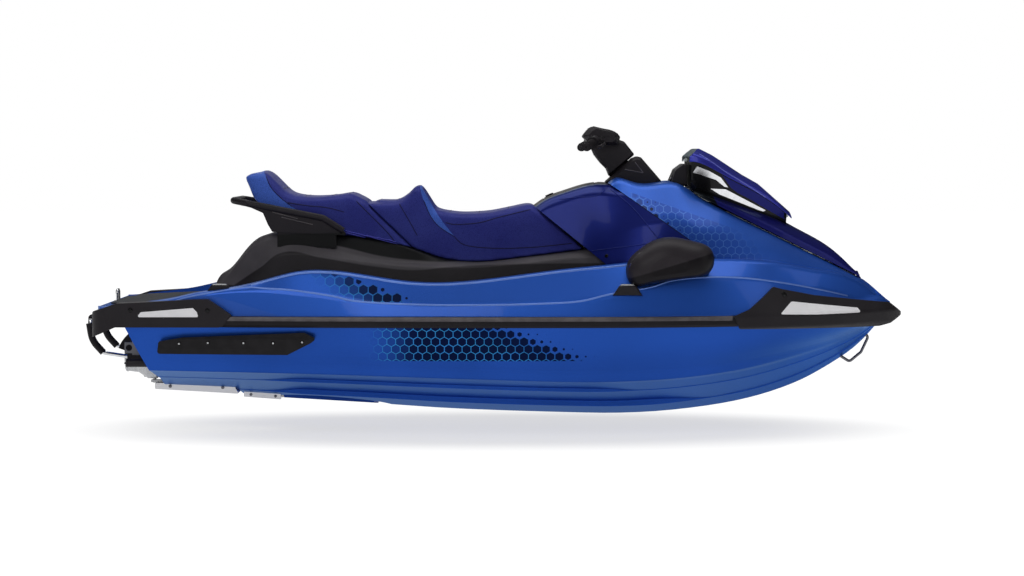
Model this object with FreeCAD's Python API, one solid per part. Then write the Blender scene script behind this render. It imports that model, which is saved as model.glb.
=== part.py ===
# Three-seat personal watercraft, in millimetres.
# +X points to the bow, +Y to port and +Z up. The origin lies on the still waterline, amidships.
# Every longitudinal shape is a Line: a fair curve through a few stations, as on a boat's lines plan.

import FreeCAD, Part
import math
import os

Vector = FreeCAD.Vector
OUT = "parts"
FAR = 3000.0


class Line:
    """A fair curve through a few stations, read at any x; it never overshoots its stations."""

    def __init__(self, *stations):
        self.x = [float(s[0]) for s in stations]
        self.v = [float(s[1]) for s in stations]
        steps = [b - a for a, b in zip(self.x, self.x[1:])]
        rates = [(b - a) / h for a, b, h in zip(self.v, self.v[1:], steps)]
        self.slope = [rates[0]]
        for h0, h1, r0, r1 in zip(steps, steps[1:], rates, rates[1:]):
            if r0 * r1 <= 0:
                self.slope.append(0.0)
            else:
                w0, w1 = 2 * h1 + h0, h1 + 2 * h0
                self.slope.append((w0 + w1) / (w0 / r0 + w1 / r1))
        self.slope.append(rates[-1])

    def __call__(self, x):
        if x <= self.x[0]:
            return self.v[0] + self.slope[0] * (x - self.x[0])
        if x >= self.x[-1]:
            return self.v[-1] + self.slope[-1] * (x - self.x[-1])
        i = max(k for k, station in enumerate(self.x) if station <= x)
        h = self.x[i + 1] - self.x[i]
        t = (x - self.x[i]) / h
        keep, take = (1 + 2 * t) * (1 - t) ** 2, t * t * (3 - 2 * t)
        return (
            keep * self.v[i]
            + take * self.v[i + 1]
            + h * t * (1 - t) ** 2 * self.slope[i]
            - h * t * t * (1 - t) * self.slope[i + 1]
        )



# Driving dimensions: the hull.
JOINT_Z = 160.0  # height of the joint between hull and deck
TRANSOM_TOP_X = -1475.0
TRANSOM_FOOT_X = -1352.0
TRANSOM_FOOT_Z = -75.0
HULL_BOW_X = 1606.0
STRAKE_INNER_WIDTH = 76.0
STRAKE_OUTER_WIDTH = 47.0
STRAKE_INNER_SHARE = 0.25  # of the way from keel to chine
STRAKE_OUTER_SHARE = 0.70
STRAKE_STERN_FADE = (-960.0, -760.0)
CHINE_FLAT = 26.0
KEEL_Z = Line(
    (-1520, -149), (-1069, -170), (-860, -185), (-500, -206), (-142, -229), (275, -243),
    (484, -247), (651, -241), (860, -220), (1027, -191), (1193, -143), (1277, -109),
    (1376, -55), (1468, 2), (1560, 86), (1606, 138),
)
CHINE_Y = Line(
    (-1520, 462), (-800, 490), (0, 502), (430, 482), (700, 432), (900, 372), (1100, 292),
    (1300, 192), (1450, 112), (1560, 54), (1606, 28),
)
CHINE_Z = Line(
    (-1520, -28), (-771, -42), (-132, -62), (426, -76), (666, -70), (829, -58), (995, -38),
    (1200, 4), (1400, 56), (1520, 100), (1606, 146),
)
RAIL_Y = Line(
    (-1610, 470), (-1400, 512), (-1000, 556), (-500, 586), (0, 596), (400, 590), (700, 562),
    (900, 524), (1100, 460), (1300, 362), (1450, 258), (1560, 154), (1640, 62), (1665, 26),
)

# Driving dimensions: the deck.
DECK_BOW_X = 1650.0
SHEER_Z = 194.0  # top of the flat band that the rub rail covers
GUNWALE_WIDTH = 40.0
CREASE_Y = Line(
    (-1610, 462), (-1400, 500), (-1143, 532), (-883, 550), (-481, 574), (28, 584), (422, 572),
    (672, 542), (819, 506), (981, 448), (1145, 368), (1314, 266), (1490, 142), (1600, 58),
    (1665, 16),
)
CREASE_Z = Line(
    (-1610, 208), (-1366, 232), (-1143, 278), (-1003, 298), (-883, 294), (-644, 270),
    (-481, 244), (-248, 240), (28, 243), (264, 250), (422, 266), (581, 297), (672, 319),
    (819, 341), (981, 337), (1145, 315), (1314, 280), (1490, 247), (1600, 214), (1665, 196),
)
GUNWALE_Y = Line(
    (-1610, 448), (-1150, 508), (-887, 518), (-569, 524), (-92, 520), (266, 500), (538, 466),
    (720, 440), (893, 402), (1074, 350), (1288, 258), (1408, 188), (1524, 98), (1600, 40),
    (1665, 8),
)
GUNWALE_Z = Line(
    (-1610, 222), (-1479, 232), (-1366, 244), (-1150, 287), (-1006, 306), (-887, 340),
    (-768, 366), (-688, 373), (-569, 362), (-370, 330), (-251, 321), (-92, 328), (107, 352),
    (266, 372), (425, 387), (538, 398), (893, 412), (1074, 402), (1288, 366), (1408, 344),
    (1524, 296), (1600, 240), (1665, 200),
)
DECK_CROWN_Z = Line(
    (-1610, 236), (-1479, 248), (-1366, 258), (-1150, 292), (-688, 373), (-251, 325),
    (425, 390), (893, 424), (1074, 418), (1288, 388), (1408, 362), (1524, 320), (1566, 289),
    (1646, 222), (1665, 205),
)

# Driving dimensions: footwells and stern platform.
WELL_HALF = Line((-1610, 420), (-1150, 452), (-569, 474), (-92, 470), (266, 448), (600, 398))
WELL_FRONT_X = 600.0
WELL_FLOOR = [(-1700, 217), (-1180, 238), (-990, 196), (700, 176)]
MAT_THICKNESS = 6.0

# Driving dimensions: seat pedestal, seats and front body.
PEDESTAL_STERN_X = -1160.0
SEAT_BASE_Z = Line(
    (-1170, 262), (-1098, 350), (-1010, 446), (-948, 498), (-900, 508), (-605, 500),
    (-350, 454), (-177, 399), (-76, 391), (108, 409), (348, 440), (480, 458),
)
PEDESTAL_PLACES = [-1150, -1090, -1030, -960, -885, -790, -680, -570, -460, -350, -240, -130, 0, 130, 260, 370, 470]
PEDESTAL_SEAT_Y = Line((-1170, 96), (-1010, 150), (-900, 186), (-605, 200), (-177, 214), (480, 214))
PEDESTAL_EDGE_Z = Line(
    (-1170, 240), (-1090, 334), (-1010, 426), (-930, 476), (-850, 488), (-624, 438), (-547, 420),
    (-370, 394), (-159, 387), (341, 431), (480, 444),
)
PEDESTAL_RIDGE_Z = Line(
    (-1170, 226), (-1110, 268), (-1055, 310), (-940, 384), (-836, 430), (-624, 407), (-547, 394),
    (-334, 376), (-159, 370), (341, 411), (480, 424),
)
PEDESTAL_TOP_Y = Line((-1170, 140), (-1010, 184), (-900, 222), (-605, 236), (-177, 242), (480, 240))
PEDESTAL_RIDGE_Y = Line((-1170, 184), (-1010, 226), (-900, 256), (-605, 268), (-177, 272), (480, 268))
PEDESTAL_FOOT_Y = Line((-1170, 240), (-900, 282), (-605, 294), (480, 296))

# Slanted seams in side view, each as two (x, z) points, and the gaps along them.
SEAT_FRONT_CUT = ((177.0, 603.0), (441.0, 391.0))  # where the seat meets the side covers
COVER_CUT = ((473.0, 711.0), (792.0, 487.0))  # where the side covers meet the cowl
SEAT_SPLIT_CUT = ((-529.0, 640.0), (-353.0, 479.0))  # between the two seats
SEAT_GAP = 6.0

# Driving dimensions: jet tunnel, intake, ride plate and engine bay.
SHAFT_Z = -16.0
TUNNEL_RADIUS = 128.0
TUNNEL_FRONT_X = -1062.0
DUCT_RADIUS = 84.0
DUCT_SLOPE = math.radians(24.0)
PLATE_HALF = 166.0
PLATE_STERN_X = -1393.0
PLATE_FRONT = (-1070.0, -108.0)  # x and z of the plate's upper front corner
PLATE_FRONT_SLOPE = 0.55
PLATE_LOW_STERN, PLATE_LOW_FRONT = -132.0, -152.0
PLATE_GAP = 3.0
SHOE_STERN_X, SHOE_FRONT_X, SHOE_HALF = -1036.0, -884.0, 76.0
GRATE_FRONT_X, GRATE_PITCH, GRATE_BAR = -486.0, 28.0, 8.0
ENGINE_SIZE = (620.0, 420.0, 400.0)
ENGINE_FOOT = (-400.0, -95.0)  # its rear face's x and its underside's z
BAY_CLEARANCE = 12.0
POCKET_FRONT_X = -1325.0
POCKET_HALF = 150.0
POCKET_TOP_Z = 142.0
HULL_SOFT = [0, 0, 3, 3, 0, 3, 3, 6, 5, 8, 60, 0]
DECK_SOFT = [0, 0, 0, 12, 22, 16, 0]

# Driving dimensions: front body, storage bin and hood.
STERN_CORNER = 80.0
DECK_STERN_X = -1585.0
BIN_REAR_X, BIN_FRONT_X = 960.0, 1330.0
BIN_REAR_Y, BIN_FRONT_Y = 150.0, 82.0
BIN_FLOOR_Z = 215.0
HOOD_SPLIT = ((894.0, 632.0), (1521.0, 322.0))
HOOD_GAP = 5.0
HOOD_LIFT = 6.0
HOOD_REAR_X = 806.0
HOOD_HINGE = (1517.0, 317.0)
COWL_FOOT_Y = Line(
    (440, 396), (600, 410), (800, 396), (1000, 346), (1150, 282), (1300, 208), (1450, 126),
    (1540, 70),
)
COWL_SIDE_Y = Line(
    (440, 330), (600, 352), (800, 350), (1000, 304), (1150, 246), (1300, 176), (1450, 100),
    (1540, 50),
)
COWL_TOP_Y = Line(
    (440, 188), (600, 204), (767, 214), (894, 236), (1091, 200), (1270, 140), (1420, 84),
    (1540, 36),
)
COWL_TOP_Z = Line(
    (440, 708), (473, 713), (602, 721), (700, 719), (767, 711), (839, 664), (894, 632),
    (1091, 534), (1255, 454), (1420, 372), (1521, 322), (1540, 312),
)
COWL_PLACES = [468, 574, 680, 767, 839, 894, 1000, 1106, 1212, 1318, 1424, 1530]
COWL_SOFT = [0, 0, 20, 60, 28, 0]
HOOD_TOP_Z = Line(
    (800, 706), (1000, 640), (1192, 562), (1271, 517), (1321, 487), (1358, 474), (1438, 411),
    (1505, 352), (1521, 328),
)

# Driving dimensions: visor over the hood.
VISOR_HALF = Line((790, 246), (870, 256), (1000, 226), (1100, 180), (1200, 126), (1236, 84))
VISOR_TOP_Z = Line((796, 886), (893, 838), (1017, 756), (1084, 720), (1150, 668), (1236, 596))
VISOR_OUTLINE = [
    (796, 786), (797, 822), (835, 857), (893, 828), (1017, 748), (1084, 711), (1150, 653),
    (1221, 594), (1233, 560), (1169, 606), (1087, 656), (842, 778),
]
VISOR_ROUNDING = [3, 10, 12, 20, 40, 20, 20, 8, 4, 10, 10, 6]
VISOR_EDGE_Z = Line((796, 800), (842, 792), (940, 744), (1087, 668), (1169, 614), (1236, 556))
VISOR_FOOT_Z = Line((772, 690), (841, 640), (1086, 580), (1192, 548), (1236, 536))

# Driving dimensions: side covers, console panel and glovebox.
COVER_TOP_Z = Line((120, 600), (165, 620), (190, 641), (272, 677), (354, 704), (436, 717), (480, 712), (700, 712))
COVER_TOP_Y = Line((120, 150), (272, 158), (440, 186), (700, 206))
COVER_SIDE_Y = Line((120, 214), (348, 250), (480, 312), (700, 362), (900, 356))
COVER_SIDE_Z = Line((120, 420), (391, 452), (593, 545), (700, 560), (900, 556))
COVER_SHOULDER_Y = Line((120, 186), (272, 194), (440, 232), (700, 286), (900, 290))
COVER_FOOT_Y = Line((120, 236), (348, 262), (436, 318), (600, 402), (800, 396), (900, 372))
COVER_GAP = 3.0
PANEL_HALF = 132.0
PANEL_THICK = 24.0
LID_REAR_X, LID_FRONT_X = 205.0, 420.0
LID_HALF = 86.0
LID_GAP = 5.0
LID_HINGE = (LID_FRONT_X + 2.0, 709.0)
LID_BARREL, LID_BARREL_HALF = 5.0, 40.0
LID_PIN, LID_PIN_HALF = 3.0, 52.0
BIN_DEPTH = 130.0

# Driving dimensions: steering.
STEER_AT = (515.0, 766.0)
STEER_SLOPE = (-0.648, 0.762)  # the axis' direction in x and z
STEER_GAP = 5.0
STEER_SHAFT_RADIUS = 12.0
STEER_SHAFT_DEPTH = 24.0
SHAFT_PLAY = 0.3
GRIP_END = (373.0, 400.0, 861.0)
BAR_RADIUS = 11.0
GRIP_RADIUS = 17.0
GRIP_LENGTH = 128.0

# Driving dimensions: seats.
SEAT_REAR_TOP = [
    (-984, 655), (-1003, 700), (-1017, 748), (-960, 764), (-925, 749), (-884, 709), (-843, 672),
    (-790, 658), (-719, 655), (-636, 662), (-591, 670), (-560, 655), (-535, 641),
]
SEAT_REAR_HALF, SEAT_FRONT_HALF = 214.0, 206.0
CUSHION_EDGE = ((1.0, 40.0), (0.985, 22.0), (0.94, 9.0), (0.84, 3.0), (0.62, 1.0), (0.0, 0.0))
SEAT_REAR_BACK = [(-906, 545), (-932, 606)]
SEAT_REAR_FOOT = (-339.0, -884.0)  # the front and rear ends of its underside
SEAT_FRONT_FOOT = (345.0, -322.0)
SEAT_REST = 1.8  # over the pedestal
HANDLE_BLADE = [
    (-1030, 640), (-869, 612), (-686, 576), (-602, 514), (-602, 502), (-900, 516), (-918, 546),
    (-938, 593), (-985, 614), (-1040, 628),
]
HANDLE_Y, HANDLE_REAR_X, HANDLE_RAIL = 244.0, -1063.0, 14.0
SEAT_FRONT_TOP = [
    (-523, 641), (-450, 639), (-395, 640), (-347, 668), (-308, 702), (-264, 640), (-236, 604),
    (-161, 589), (-99, 587), (-16, 593), (67, 609), (138, 622), (169, 603),
]

# Driving dimensions: rub rails, bumpers and their inserts.
RAIL_LOW_Z, RAIL_HIGH_Z = 147.0, 191.0
RAIL_OUT = 15.0
BUMPER_OUT = 20.0
BUMPER_WALL = 36.0
INSERT_PROUD, INSERT_DEPTH = 2.5, 10.0
BUMPER_Y = Line(
    (930, RAIL_Y(930) + BUMPER_OUT), (1100, RAIL_Y(1100) + BUMPER_OUT), (1300, RAIL_Y(1300) + BUMPER_OUT),
    (1450, RAIL_Y(1450) + BUMPER_OUT), (1560, 176), (1620, 118), (1660, 72), (1684, 36), (1694, 10),
)
BUMPER_CREASE_Y = Line(
    (930, 480), (1100, 406), (1300, 291), (1450, 187), (1560, 118), (1620, 80), (1660, 48),
    (1684, 24), (1694, 7),
)
BUMPER_SOFT = [0, 4, 6, 10, 8, 0]
BUMPER_PLACES = [950, 1030, 1110, 1190, 1270, 1350, 1430, 1500, 1560, 1610, 1650, 1676, 1694]
BUMPER_TOP_Z = Line((930, 352), (1145, 332), (1314, 296), (1490, 264), (1600, 236), (1694, 218))
STERN_INNER_Y = 262.0

# Driving dimensions: mirrors.
MIRROR_OUTLINE = [
    (529, 365), (541, 414), (581, 454), (637, 489), (707, 503), (790, 488), (862, 458),
    (878, 412), (862, 366), (800, 344), (690, 329), (600, 314), (549, 312),
]
MIRROR_GLASS = [(536, 384), (548, 412), (582, 446), (588, 440), (556, 408), (544, 382)]
MIRROR_Y, MIRROR_GLASS_HALF = 505.0, 52.0
MIRROR_RINGS = (
    (-96, 0.66, 0), (-84, 0.82, 0), (-58, 0.94, 0), (-20, 1.0, 0), (24, 0.99, 0), (58, 0.92, -4),
    (82, 0.78, -9), (95, 0.60, -12), (101, 0.42, -14),
)
EYE_BORE = 26.0

# Driving dimensions: jet unit. The nozzle turns about a vertical axis, the bucket about a level one.
PUMP_OUTER, PUMP_BORE = 108.0, 92.0
PUMP_FRONT_X, PUMP_REAR_X = TUNNEL_FRONT_X, -1290.0
OUTLET_OUTER, OUTLET_BORE = 54.0, 46.0
OUTLET_X = -1365.0
NOZZLE_X = -1415.0  # the nozzle turns about a vertical axis here; the bucket about a transverse one
NOZZLE_END_X = -1530.0
BELL_OUTER, BELL_BORE = 86.0, 78.0
IMPELLER_RADIUS = 86.0
SHAFT_RADIUS = 14.0
HUB_RADIUS = 26.0
PIN_RADIUS = 7.0
LUG_IN, LUG_OUT = 91.0, 101.0
BUCKET_IN, BUCKET_OUT = 136.0, 142.0
BUCKET_HALF = 117.0
BUCKET_PLATE = 6.0
BRACKET_Y = (95.0, 103.0)
BUCKET_LOW, BUCKET_HIGH = 20.0, 75.0  # degrees above the horizontal when stowed

# Driving dimensions: boarding step.
STEP_HINGE = (-1486.0, 2.0)
STEP_HALF = 188.0
STEP_ROD = 8.0


def on_line(p, q):
    """The z of the straight line through two (x, z) points, as a function of x."""
    return lambda x: p[1] + (q[1] - p[1]) * (x - p[0]) / (q[0] - p[0])


def vertical_points(points, y):
    return [Vector(x, y, z) for x, z in points]


def corner_arc(before, corner, after, radius):
    """Start, middle and end of the arc that rounds a corner, no longer than its legs allow."""
    a, b = (before - corner), (after - corner)
    la, lb = a.Length, b.Length
    a.normalize()
    b.normalize()
    half = a.getAngle(b) / 2
    if radius <= 0 or half > math.pi / 2 - 0.01:
        return None
    reach = min(radius / math.tan(half), 0.48 * la, 0.48 * lb)
    r = reach * math.tan(half)
    bisector = (a + b).normalize()
    centre = corner + bisector * math.hypot(reach, r)
    return corner + a * reach, centre - bisector * r, corner + b * reach


def rounded_wire(points, radius=0.0, closed=True):
    """A wire of straight runs joined by tangent arcs. radius is one value or one for each point."""
    n = len(points)
    radii = radius if isinstance(radius, (list, tuple)) else [radius] * n
    arcs = []
    for i, p in enumerate(points):
        inner = closed or 0 < i < n - 1
        arcs.append(corner_arc(points[i - 1], p, points[(i + 1) % n], radii[i]) if inner else None)
    edges = []
    for i in range(n if closed else n - 1):
        j = (i + 1) % n
        start = arcs[i][2] if arcs[i] else points[i]
        end = arcs[j][0] if arcs[j] else points[j]
        if (end - start).Length > 1e-6:
            edges.append(Part.LineSegment(start, end).toShape())
        if arcs[j] and (closed or j < n - 1):
            edges.append(Part.Arc(*arcs[j]).toShape())
    return Part.Wire(edges)


def side_prism(points, y_low, y_high, radius=0.0):
    """An outline drawn in side view, extruded across the boat."""
    wire = rounded_wire(vertical_points(points, y_low), radius)
    return Part.Face(wire).extrude(Vector(0, y_high - y_low, 0))


def plan_prism(points, z_low, z_high, radius=0.0):
    """An outline drawn in plan view, extruded upwards."""
    wire = rounded_wire([Vector(x, y, z_low) for x, y in points], radius)
    return Part.Face(wire).extrude(Vector(0, 0, z_high - z_low))


def soft_section(x, half, softness):
    """A closed section at station x from half its points, keel to crown, mirrored across the boat.
    softness gives, for each point, how far back from it the corner is rounded."""
    points = [Vector(x, y, z) for y, z in half]
    points += [Vector(x, -y, z) for y, z in reversed(half) if y > 1e-6]
    soft = list(softness) + [s for s, (y, z) in zip(reversed(softness), reversed(half)) if y > 1e-6]
    n = len(points)
    cuts = []
    for i, p in enumerate(points):
        before, after = points[i - 1] - p, points[(i + 1) % n] - p
        reach = min(soft[i], 0.4 * before.Length, 0.4 * after.Length)
        if reach <= 0:
            cuts.append(None)
        else:
            cuts.append((p + before.normalize() * reach, p, p + after.normalize() * reach))
    edges = []
    for i in range(n):
        j = (i + 1) % n
        start = cuts[i][2] if cuts[i] else points[i]
        end = cuts[j][0] if cuts[j] else points[j]
        edges.append(Part.LineSegment(start, end).toShape())
        if cuts[j]:
            curve = Part.BezierCurve()
            curve.setPoles(list(cuts[j]))
            edges.append(curve.toShape())
    return Part.Wire(edges)


def loft(wires, ruled=False):
    return Part.makeLoft(wires, True, ruled)


def stations(first, last, step):
    """Evenly spaced stations from first to last, about step apart."""
    count = max(2, int(round((last - first) / step)) + 1)
    return [first + (last - first) * i / (count - 1) for i in range(count)]


def body_along(places, half_at, softness):
    """A solid lofted along the boat through mirrored sections at these stations."""
    return loft([soft_section(x, half_at(x), softness) for x in places])


def behind(cut, gap=0.0):
    """A huge block behind and under a slanted cut, which runs down towards the bow."""
    (x0, z0), (x1, z1) = cut
    length = math.hypot(x1 - x0, z1 - z0)
    ux, uz = (x1 - x0) / length, (z1 - z0) / length
    nx, nz = uz, -ux  # points down and aft
    if nx > 0:
        nx, nz = -nx, -nz
    a = (x0 + nx * gap - ux * FAR, z0 + nz * gap - uz * FAR)
    b = (x0 + nx * gap + ux * FAR, z0 + nz * gap + uz * FAR)
    c = (b[0] + nx * FAR, b[1] + nz * FAR)
    d = (a[0] + nx * FAR, a[1] + nz * FAR)
    return side_prism([a, b, c, d], -FAR, FAR)


def pillow(points, y_mid, half_width, edge, shrink=0.86, radius=6.0):
    """A side-view outline given thickness across the boat, its rims drawn in by chamfers."""
    cx = sum(p[0] for p in points) / len(points)
    cz = sum(p[1] for p in points) / len(points)
    wires = []
    for offset, scale in ((-half_width, shrink), (edge - half_width, 1.0), (half_width - edge, 1.0), (half_width, shrink)):
        ring = [(cx + (x - cx) * scale, cz + (z - cz) * scale) for x, z in points]
        wires.append(rounded_wire(vertical_points(ring, y_mid + offset), radius))
    return loft(wires, True)


def cylinder(radius, start, end):
    axis = Vector(*end) - Vector(*start)
    return Part.makeCylinder(radius, axis.Length, Vector(*start), axis)


def tube(points, radius, bend):
    """A round bar along straight runs joined by tangent arcs."""
    path = rounded_wire([Vector(*p) for p in points], bend, closed=False)
    along = Vector(*points[1]) - Vector(*points[0])
    ring = Part.Wire(Part.Circle(Vector(*points[0]), along, radius).toShape())
    return path.makePipeShell([ring], True, False)


def both_sides(shape):
    """The shape and its mirror image, as one compound of solids that don't touch."""
    return Part.makeCompound(shape.Solids + shape.mirror(Vector(0, 0, 0), Vector(0, 1, 0)).Solids)


def write(name, shape):
    """Writes a node's solids as one STEP file."""
    solids = [s for s in shape.Solids if s.Volume > 1.0]
    if not solids:
        raise ValueError(f"{name} has no solid")
    for s in solids:
        if not s.isValid():
            print("not valid:", name)
    made = solids[0] if len(solids) == 1 else Part.makeCompound(solids)
    made.exportStep(os.path.join(OUT, name + ".step"))
    box = made.BoundBox
    print(
        f"{name:22s} solids {len(solids)} volume {made.Volume / 1e6:9.3f} l"
        f"  x {box.XMin:6.0f}..{box.XMax:6.0f} y {box.YMin:5.0f}..{box.YMax:5.0f} z {box.ZMin:5.0f}..{box.ZMax:5.0f}"
    )


def fade(x, start, end):
    """1 before start, 0 after end, smooth between."""
    t = min(1.0, max(0.0, (x - start) / (end - start)))
    return 1 - t * t * (3 - 2 * t)


def hull_half(x):
    keel, chine_y, chine_z, rail = KEEL_Z(x), CHINE_Y(x), CHINE_Z(x), RAIL_Y(x)
    rise = (chine_z - keel) / chine_y
    half = [(0.0, keel)]
    strakes = (
        (STRAKE_INNER_SHARE, STRAKE_INNER_WIDTH, 640, 880),
        (STRAKE_OUTER_SHARE, STRAKE_OUTER_WIDTH, 380, 620),
    )
    for share, width, start, end in strakes:
        y = share * chine_y
        shown = fade(x, start, end) * (1 - fade(x, *STRAKE_STERN_FADE))
        w = min(width * (0.12 + 0.88 * shown), 0.15 * chine_y)
        half += [(y, keel + rise * y), (y + w, keel + rise * (y + 0.1 * w)), (y + w, keel + rise * (y + w))]
    flat = min(CHINE_FLAT, 0.12 * chine_y)
    half += [(chine_y - flat, chine_z - 0.8 * rise * flat), (chine_y, chine_z)]
    lift = JOINT_Z - chine_z
    half += [(chine_y + 0.16 * (rail - chine_y), chine_z + 0.16 * lift)]
    half += [(chine_y + 0.62 * (rail - chine_y), chine_z + 0.5 * lift), (rail, JOINT_Z)]
    return half


def raw_hull():
    places = stations(-1520, HULL_BOW_X, 105)
    places.insert(-1, (places[-2] + places[-1]) / 2)
    return body_along(places, hull_half, HULL_SOFT)


def transom_cutter():
    return side_prism(
        [(-1700, 300), (TRANSOM_TOP_X, 300), (TRANSOM_TOP_X, JOINT_Z),
         (TRANSOM_FOOT_X, TRANSOM_FOOT_Z), (TRANSOM_FOOT_X, -400), (-1700, -400)], -FAR, FAR
    )


def duct_axis():
    """Where the inclined intake duct leaves the pump, and the point far down its line."""
    start = (TUNNEL_FRONT_X - 10, 0, SHAFT_Z)
    end = (start[0] + 700 * math.cos(DUCT_SLOPE), 0, SHAFT_Z - 700 * math.sin(DUCT_SLOPE))
    return start, end


def plate_outline(clearance, foot):
    """Side view of the ride plate's place: level on top and slanted at the front."""
    x, z = PLATE_FRONT
    slope = PLATE_FRONT_SLOPE
    stern = PLATE_STERN_X if foot is None else -1600
    if foot is None:
        low = [(x - clearance + slope * (z - PLATE_LOW_FRONT), PLATE_LOW_FRONT), (stern, PLATE_LOW_STERN)]
    else:
        low = [(x - clearance + slope * (z - foot), foot), (stern, foot)]
    return [(stern, z), (x - clearance, z)] + low


def bottom_z(x, y):
    """Height of the hull's bottom between its strakes."""
    return KEEL_Z(x) + (CHINE_Z(x) - KEEL_Z(x)) / CHINE_Y(x) * abs(y)


def make_hull():
    hull = raw_hull().cut(transom_cutter())
    tunnel = cylinder(TUNNEL_RADIUS, (-1600, 0, SHAFT_Z), (TUNNEL_FRONT_X, 0, SHAFT_Z))
    slot = Part.makeBox(
        TUNNEL_FRONT_X + 1600, 2 * TUNNEL_RADIUS, 400, Vector(-1600, -TUNNEL_RADIUS, SHAFT_Z - 400)
    )
    recess = side_prism(plate_outline(0.0, -400), -PLATE_HALF, PLATE_HALF)
    pocket = Part.makeBox(
        POCKET_FRONT_X + 1600, 2 * POCKET_HALF, 400 + POCKET_TOP_Z, Vector(-1600, -POCKET_HALF, -400)
    )
    duct = cylinder(DUCT_RADIUS, *duct_axis())
    shaft_bore = cylinder(22.0, (-1000, 0, SHAFT_Z), (ENGINE_FOOT[0], 0, SHAFT_Z))
    return hull.cut(tunnel.fuse([slot, recess, pocket, duct, shaft_bore])).cut(engine_bay(ENGINE_FOOT[1]))


def deck_half(x):
    rail, gy, gz = RAIL_Y(x), GUNWALE_Y(x), GUNWALE_Z(x)
    inner = max(gy - GUNWALE_WIDTH, 0.45 * gy)
    return [
        (0.0, JOINT_Z), (rail, JOINT_Z), (rail, SHEER_Z), (CREASE_Y(x), CREASE_Z(x)),
        (gy, gz), (inner, gz + 0.15 * (DECK_CROWN_Z(x) - gz)), (0.0, DECK_CROWN_Z(x)),
    ]


def well_cutter():
    """The footwells and stern platform: the well's plan shape, above its floor."""
    xs = stations(-1700, WELL_FRONT_X, 150)
    side = [(x, WELL_HALF(x)) for x in xs]
    plan = side + [(x, -y) for x, y in reversed(side)]
    outer = plan_prism(plan, 0, 900, [0] * (len(xs) - 1) + [60, 60] + [0] * (len(xs) - 1))
    floor = WELL_FLOOR + [(700, 900), (-1700, 900)]
    return outer.common(side_prism(floor, -FAR, FAR))


def make_deck():
    deck = body_along(stations(DECK_STERN_X, DECK_BOW_X, 126), deck_half, DECK_SOFT)
    stern = plan_prism(
        [(DECK_STERN_X, -GUNWALE_Y(DECK_STERN_X) - 30), (DECK_STERN_X, GUNWALE_Y(DECK_STERN_X) + 30),
         (2000, 900), (2000, -900)], 0, 600, [STERN_CORNER, STERN_CORNER, 0, 0]
    )
    deck = deck.common(stern).cut(well_cutter())
    return deck.cut(engine_bay(100)).cut(storage_bin())


def engine_bay(z_low):
    """The opening round the engine block, with room all round it."""
    length, width, height = ENGINE_SIZE
    return Part.makeBox(
        length + 2 * BAY_CLEARANCE, width + 2 * BAY_CLEARANCE,
        ENGINE_FOOT[1] + height + BAY_CLEARANCE - z_low,
        Vector(ENGINE_FOOT[0] - BAY_CLEARANCE, -width / 2 - BAY_CLEARANCE, z_low),
    )


def storage_bin():
    """The bow storage bin under the hood, open at the top."""
    return plan_prism(
        [(BIN_REAR_X, -BIN_REAR_Y), (BIN_REAR_X, BIN_REAR_Y), (BIN_FRONT_X, BIN_FRONT_Y),
         (BIN_FRONT_X, -BIN_FRONT_Y)], BIN_FLOOR_Z, 900, 35
    )


def cowl_half(x):
    foot = GUNWALE_Z(x) - 60
    top = COWL_TOP_Z(x)
    side_z = GUNWALE_Z(x) + 0.45 * (top - GUNWALE_Z(x))
    return [(0.0, foot), (COWL_FOOT_Y(x), foot), (COWL_FOOT_Y(x), GUNWALE_Z(x) - 10),
            (COWL_SIDE_Y(x), side_z), (COWL_TOP_Y(x), top - 6), (0.0, top)]


def make_cowl(deck):
    cowl = body_along(COWL_PLACES, cowl_half, COWL_SOFT)
    return cowl.cut(behind(COVER_CUT)).cut(deck).cut(storage_bin())


def hood_half(x):
    low = on_line(*HOOD_SPLIT)(x) + HOOD_GAP / math.cos(math.atan(0.4944))
    high = max(HOOD_TOP_Z(x), low + 6)
    wide = COWL_TOP_Y(x)
    return [(0.0, low), (wide, low - 5), (wide - 3, low + 0.35 * (high - low)),
            (0.72 * wide, low + 0.82 * (high - low)), (0.0, high)]


def raised(shape):
    """The shape lifted by the gap that the hood keeps from what lies under it."""
    return shape.translated(Vector(0, 0, HOOD_LIFT))


def hinge_pin(radius, half):
    x, z = HOOD_HINGE
    return cylinder(radius, (x, -half, z), (x, half, z))


def make_hood(cowl, deck):
    hood = body_along(stations(820, HOOD_HINGE[0], 90), hood_half, [0, 3, 10, 30, 0])
    hollow = body_along(
        stations(900, 1440, 108), lambda x: [
            (0.0, hood_half(x)[0][1] - 30), (COWL_TOP_Y(x) - 34, hood_half(x)[0][1] - 30),
            (COWL_TOP_Y(x) - 46, HOOD_TOP_Z(x) - 34 - 0.2 * (HOOD_TOP_Z(x) - hood_half(x)[0][1])),
            (0.0, HOOD_TOP_Z(x) - 22)], [0, 0, 20, 0]
    )
    x, z = HOOD_HINGE
    neck = side_prism([(x - 6, z + 4), (x - 16, z + 30), (x - 4, z + 30), (x + 6, z + 4)], -14, 14)
    hood = hood.cut(hollow).cut(raised(cowl)).cut(raised(deck))
    return hood.fuse([neck, hinge_pin(9, 14), hinge_pin(PIN_RADIUS, 26)])


def visor_base_half(x):
    wide = VISOR_HALF(x)
    return [(0.0, VISOR_FOOT_Z(x)), (0.72 * wide, VISOR_FOOT_Z(x)),
            (0.94 * wide, VISOR_EDGE_Z(x) + 4), (0.0, VISOR_EDGE_Z(x) + 24)]


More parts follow.
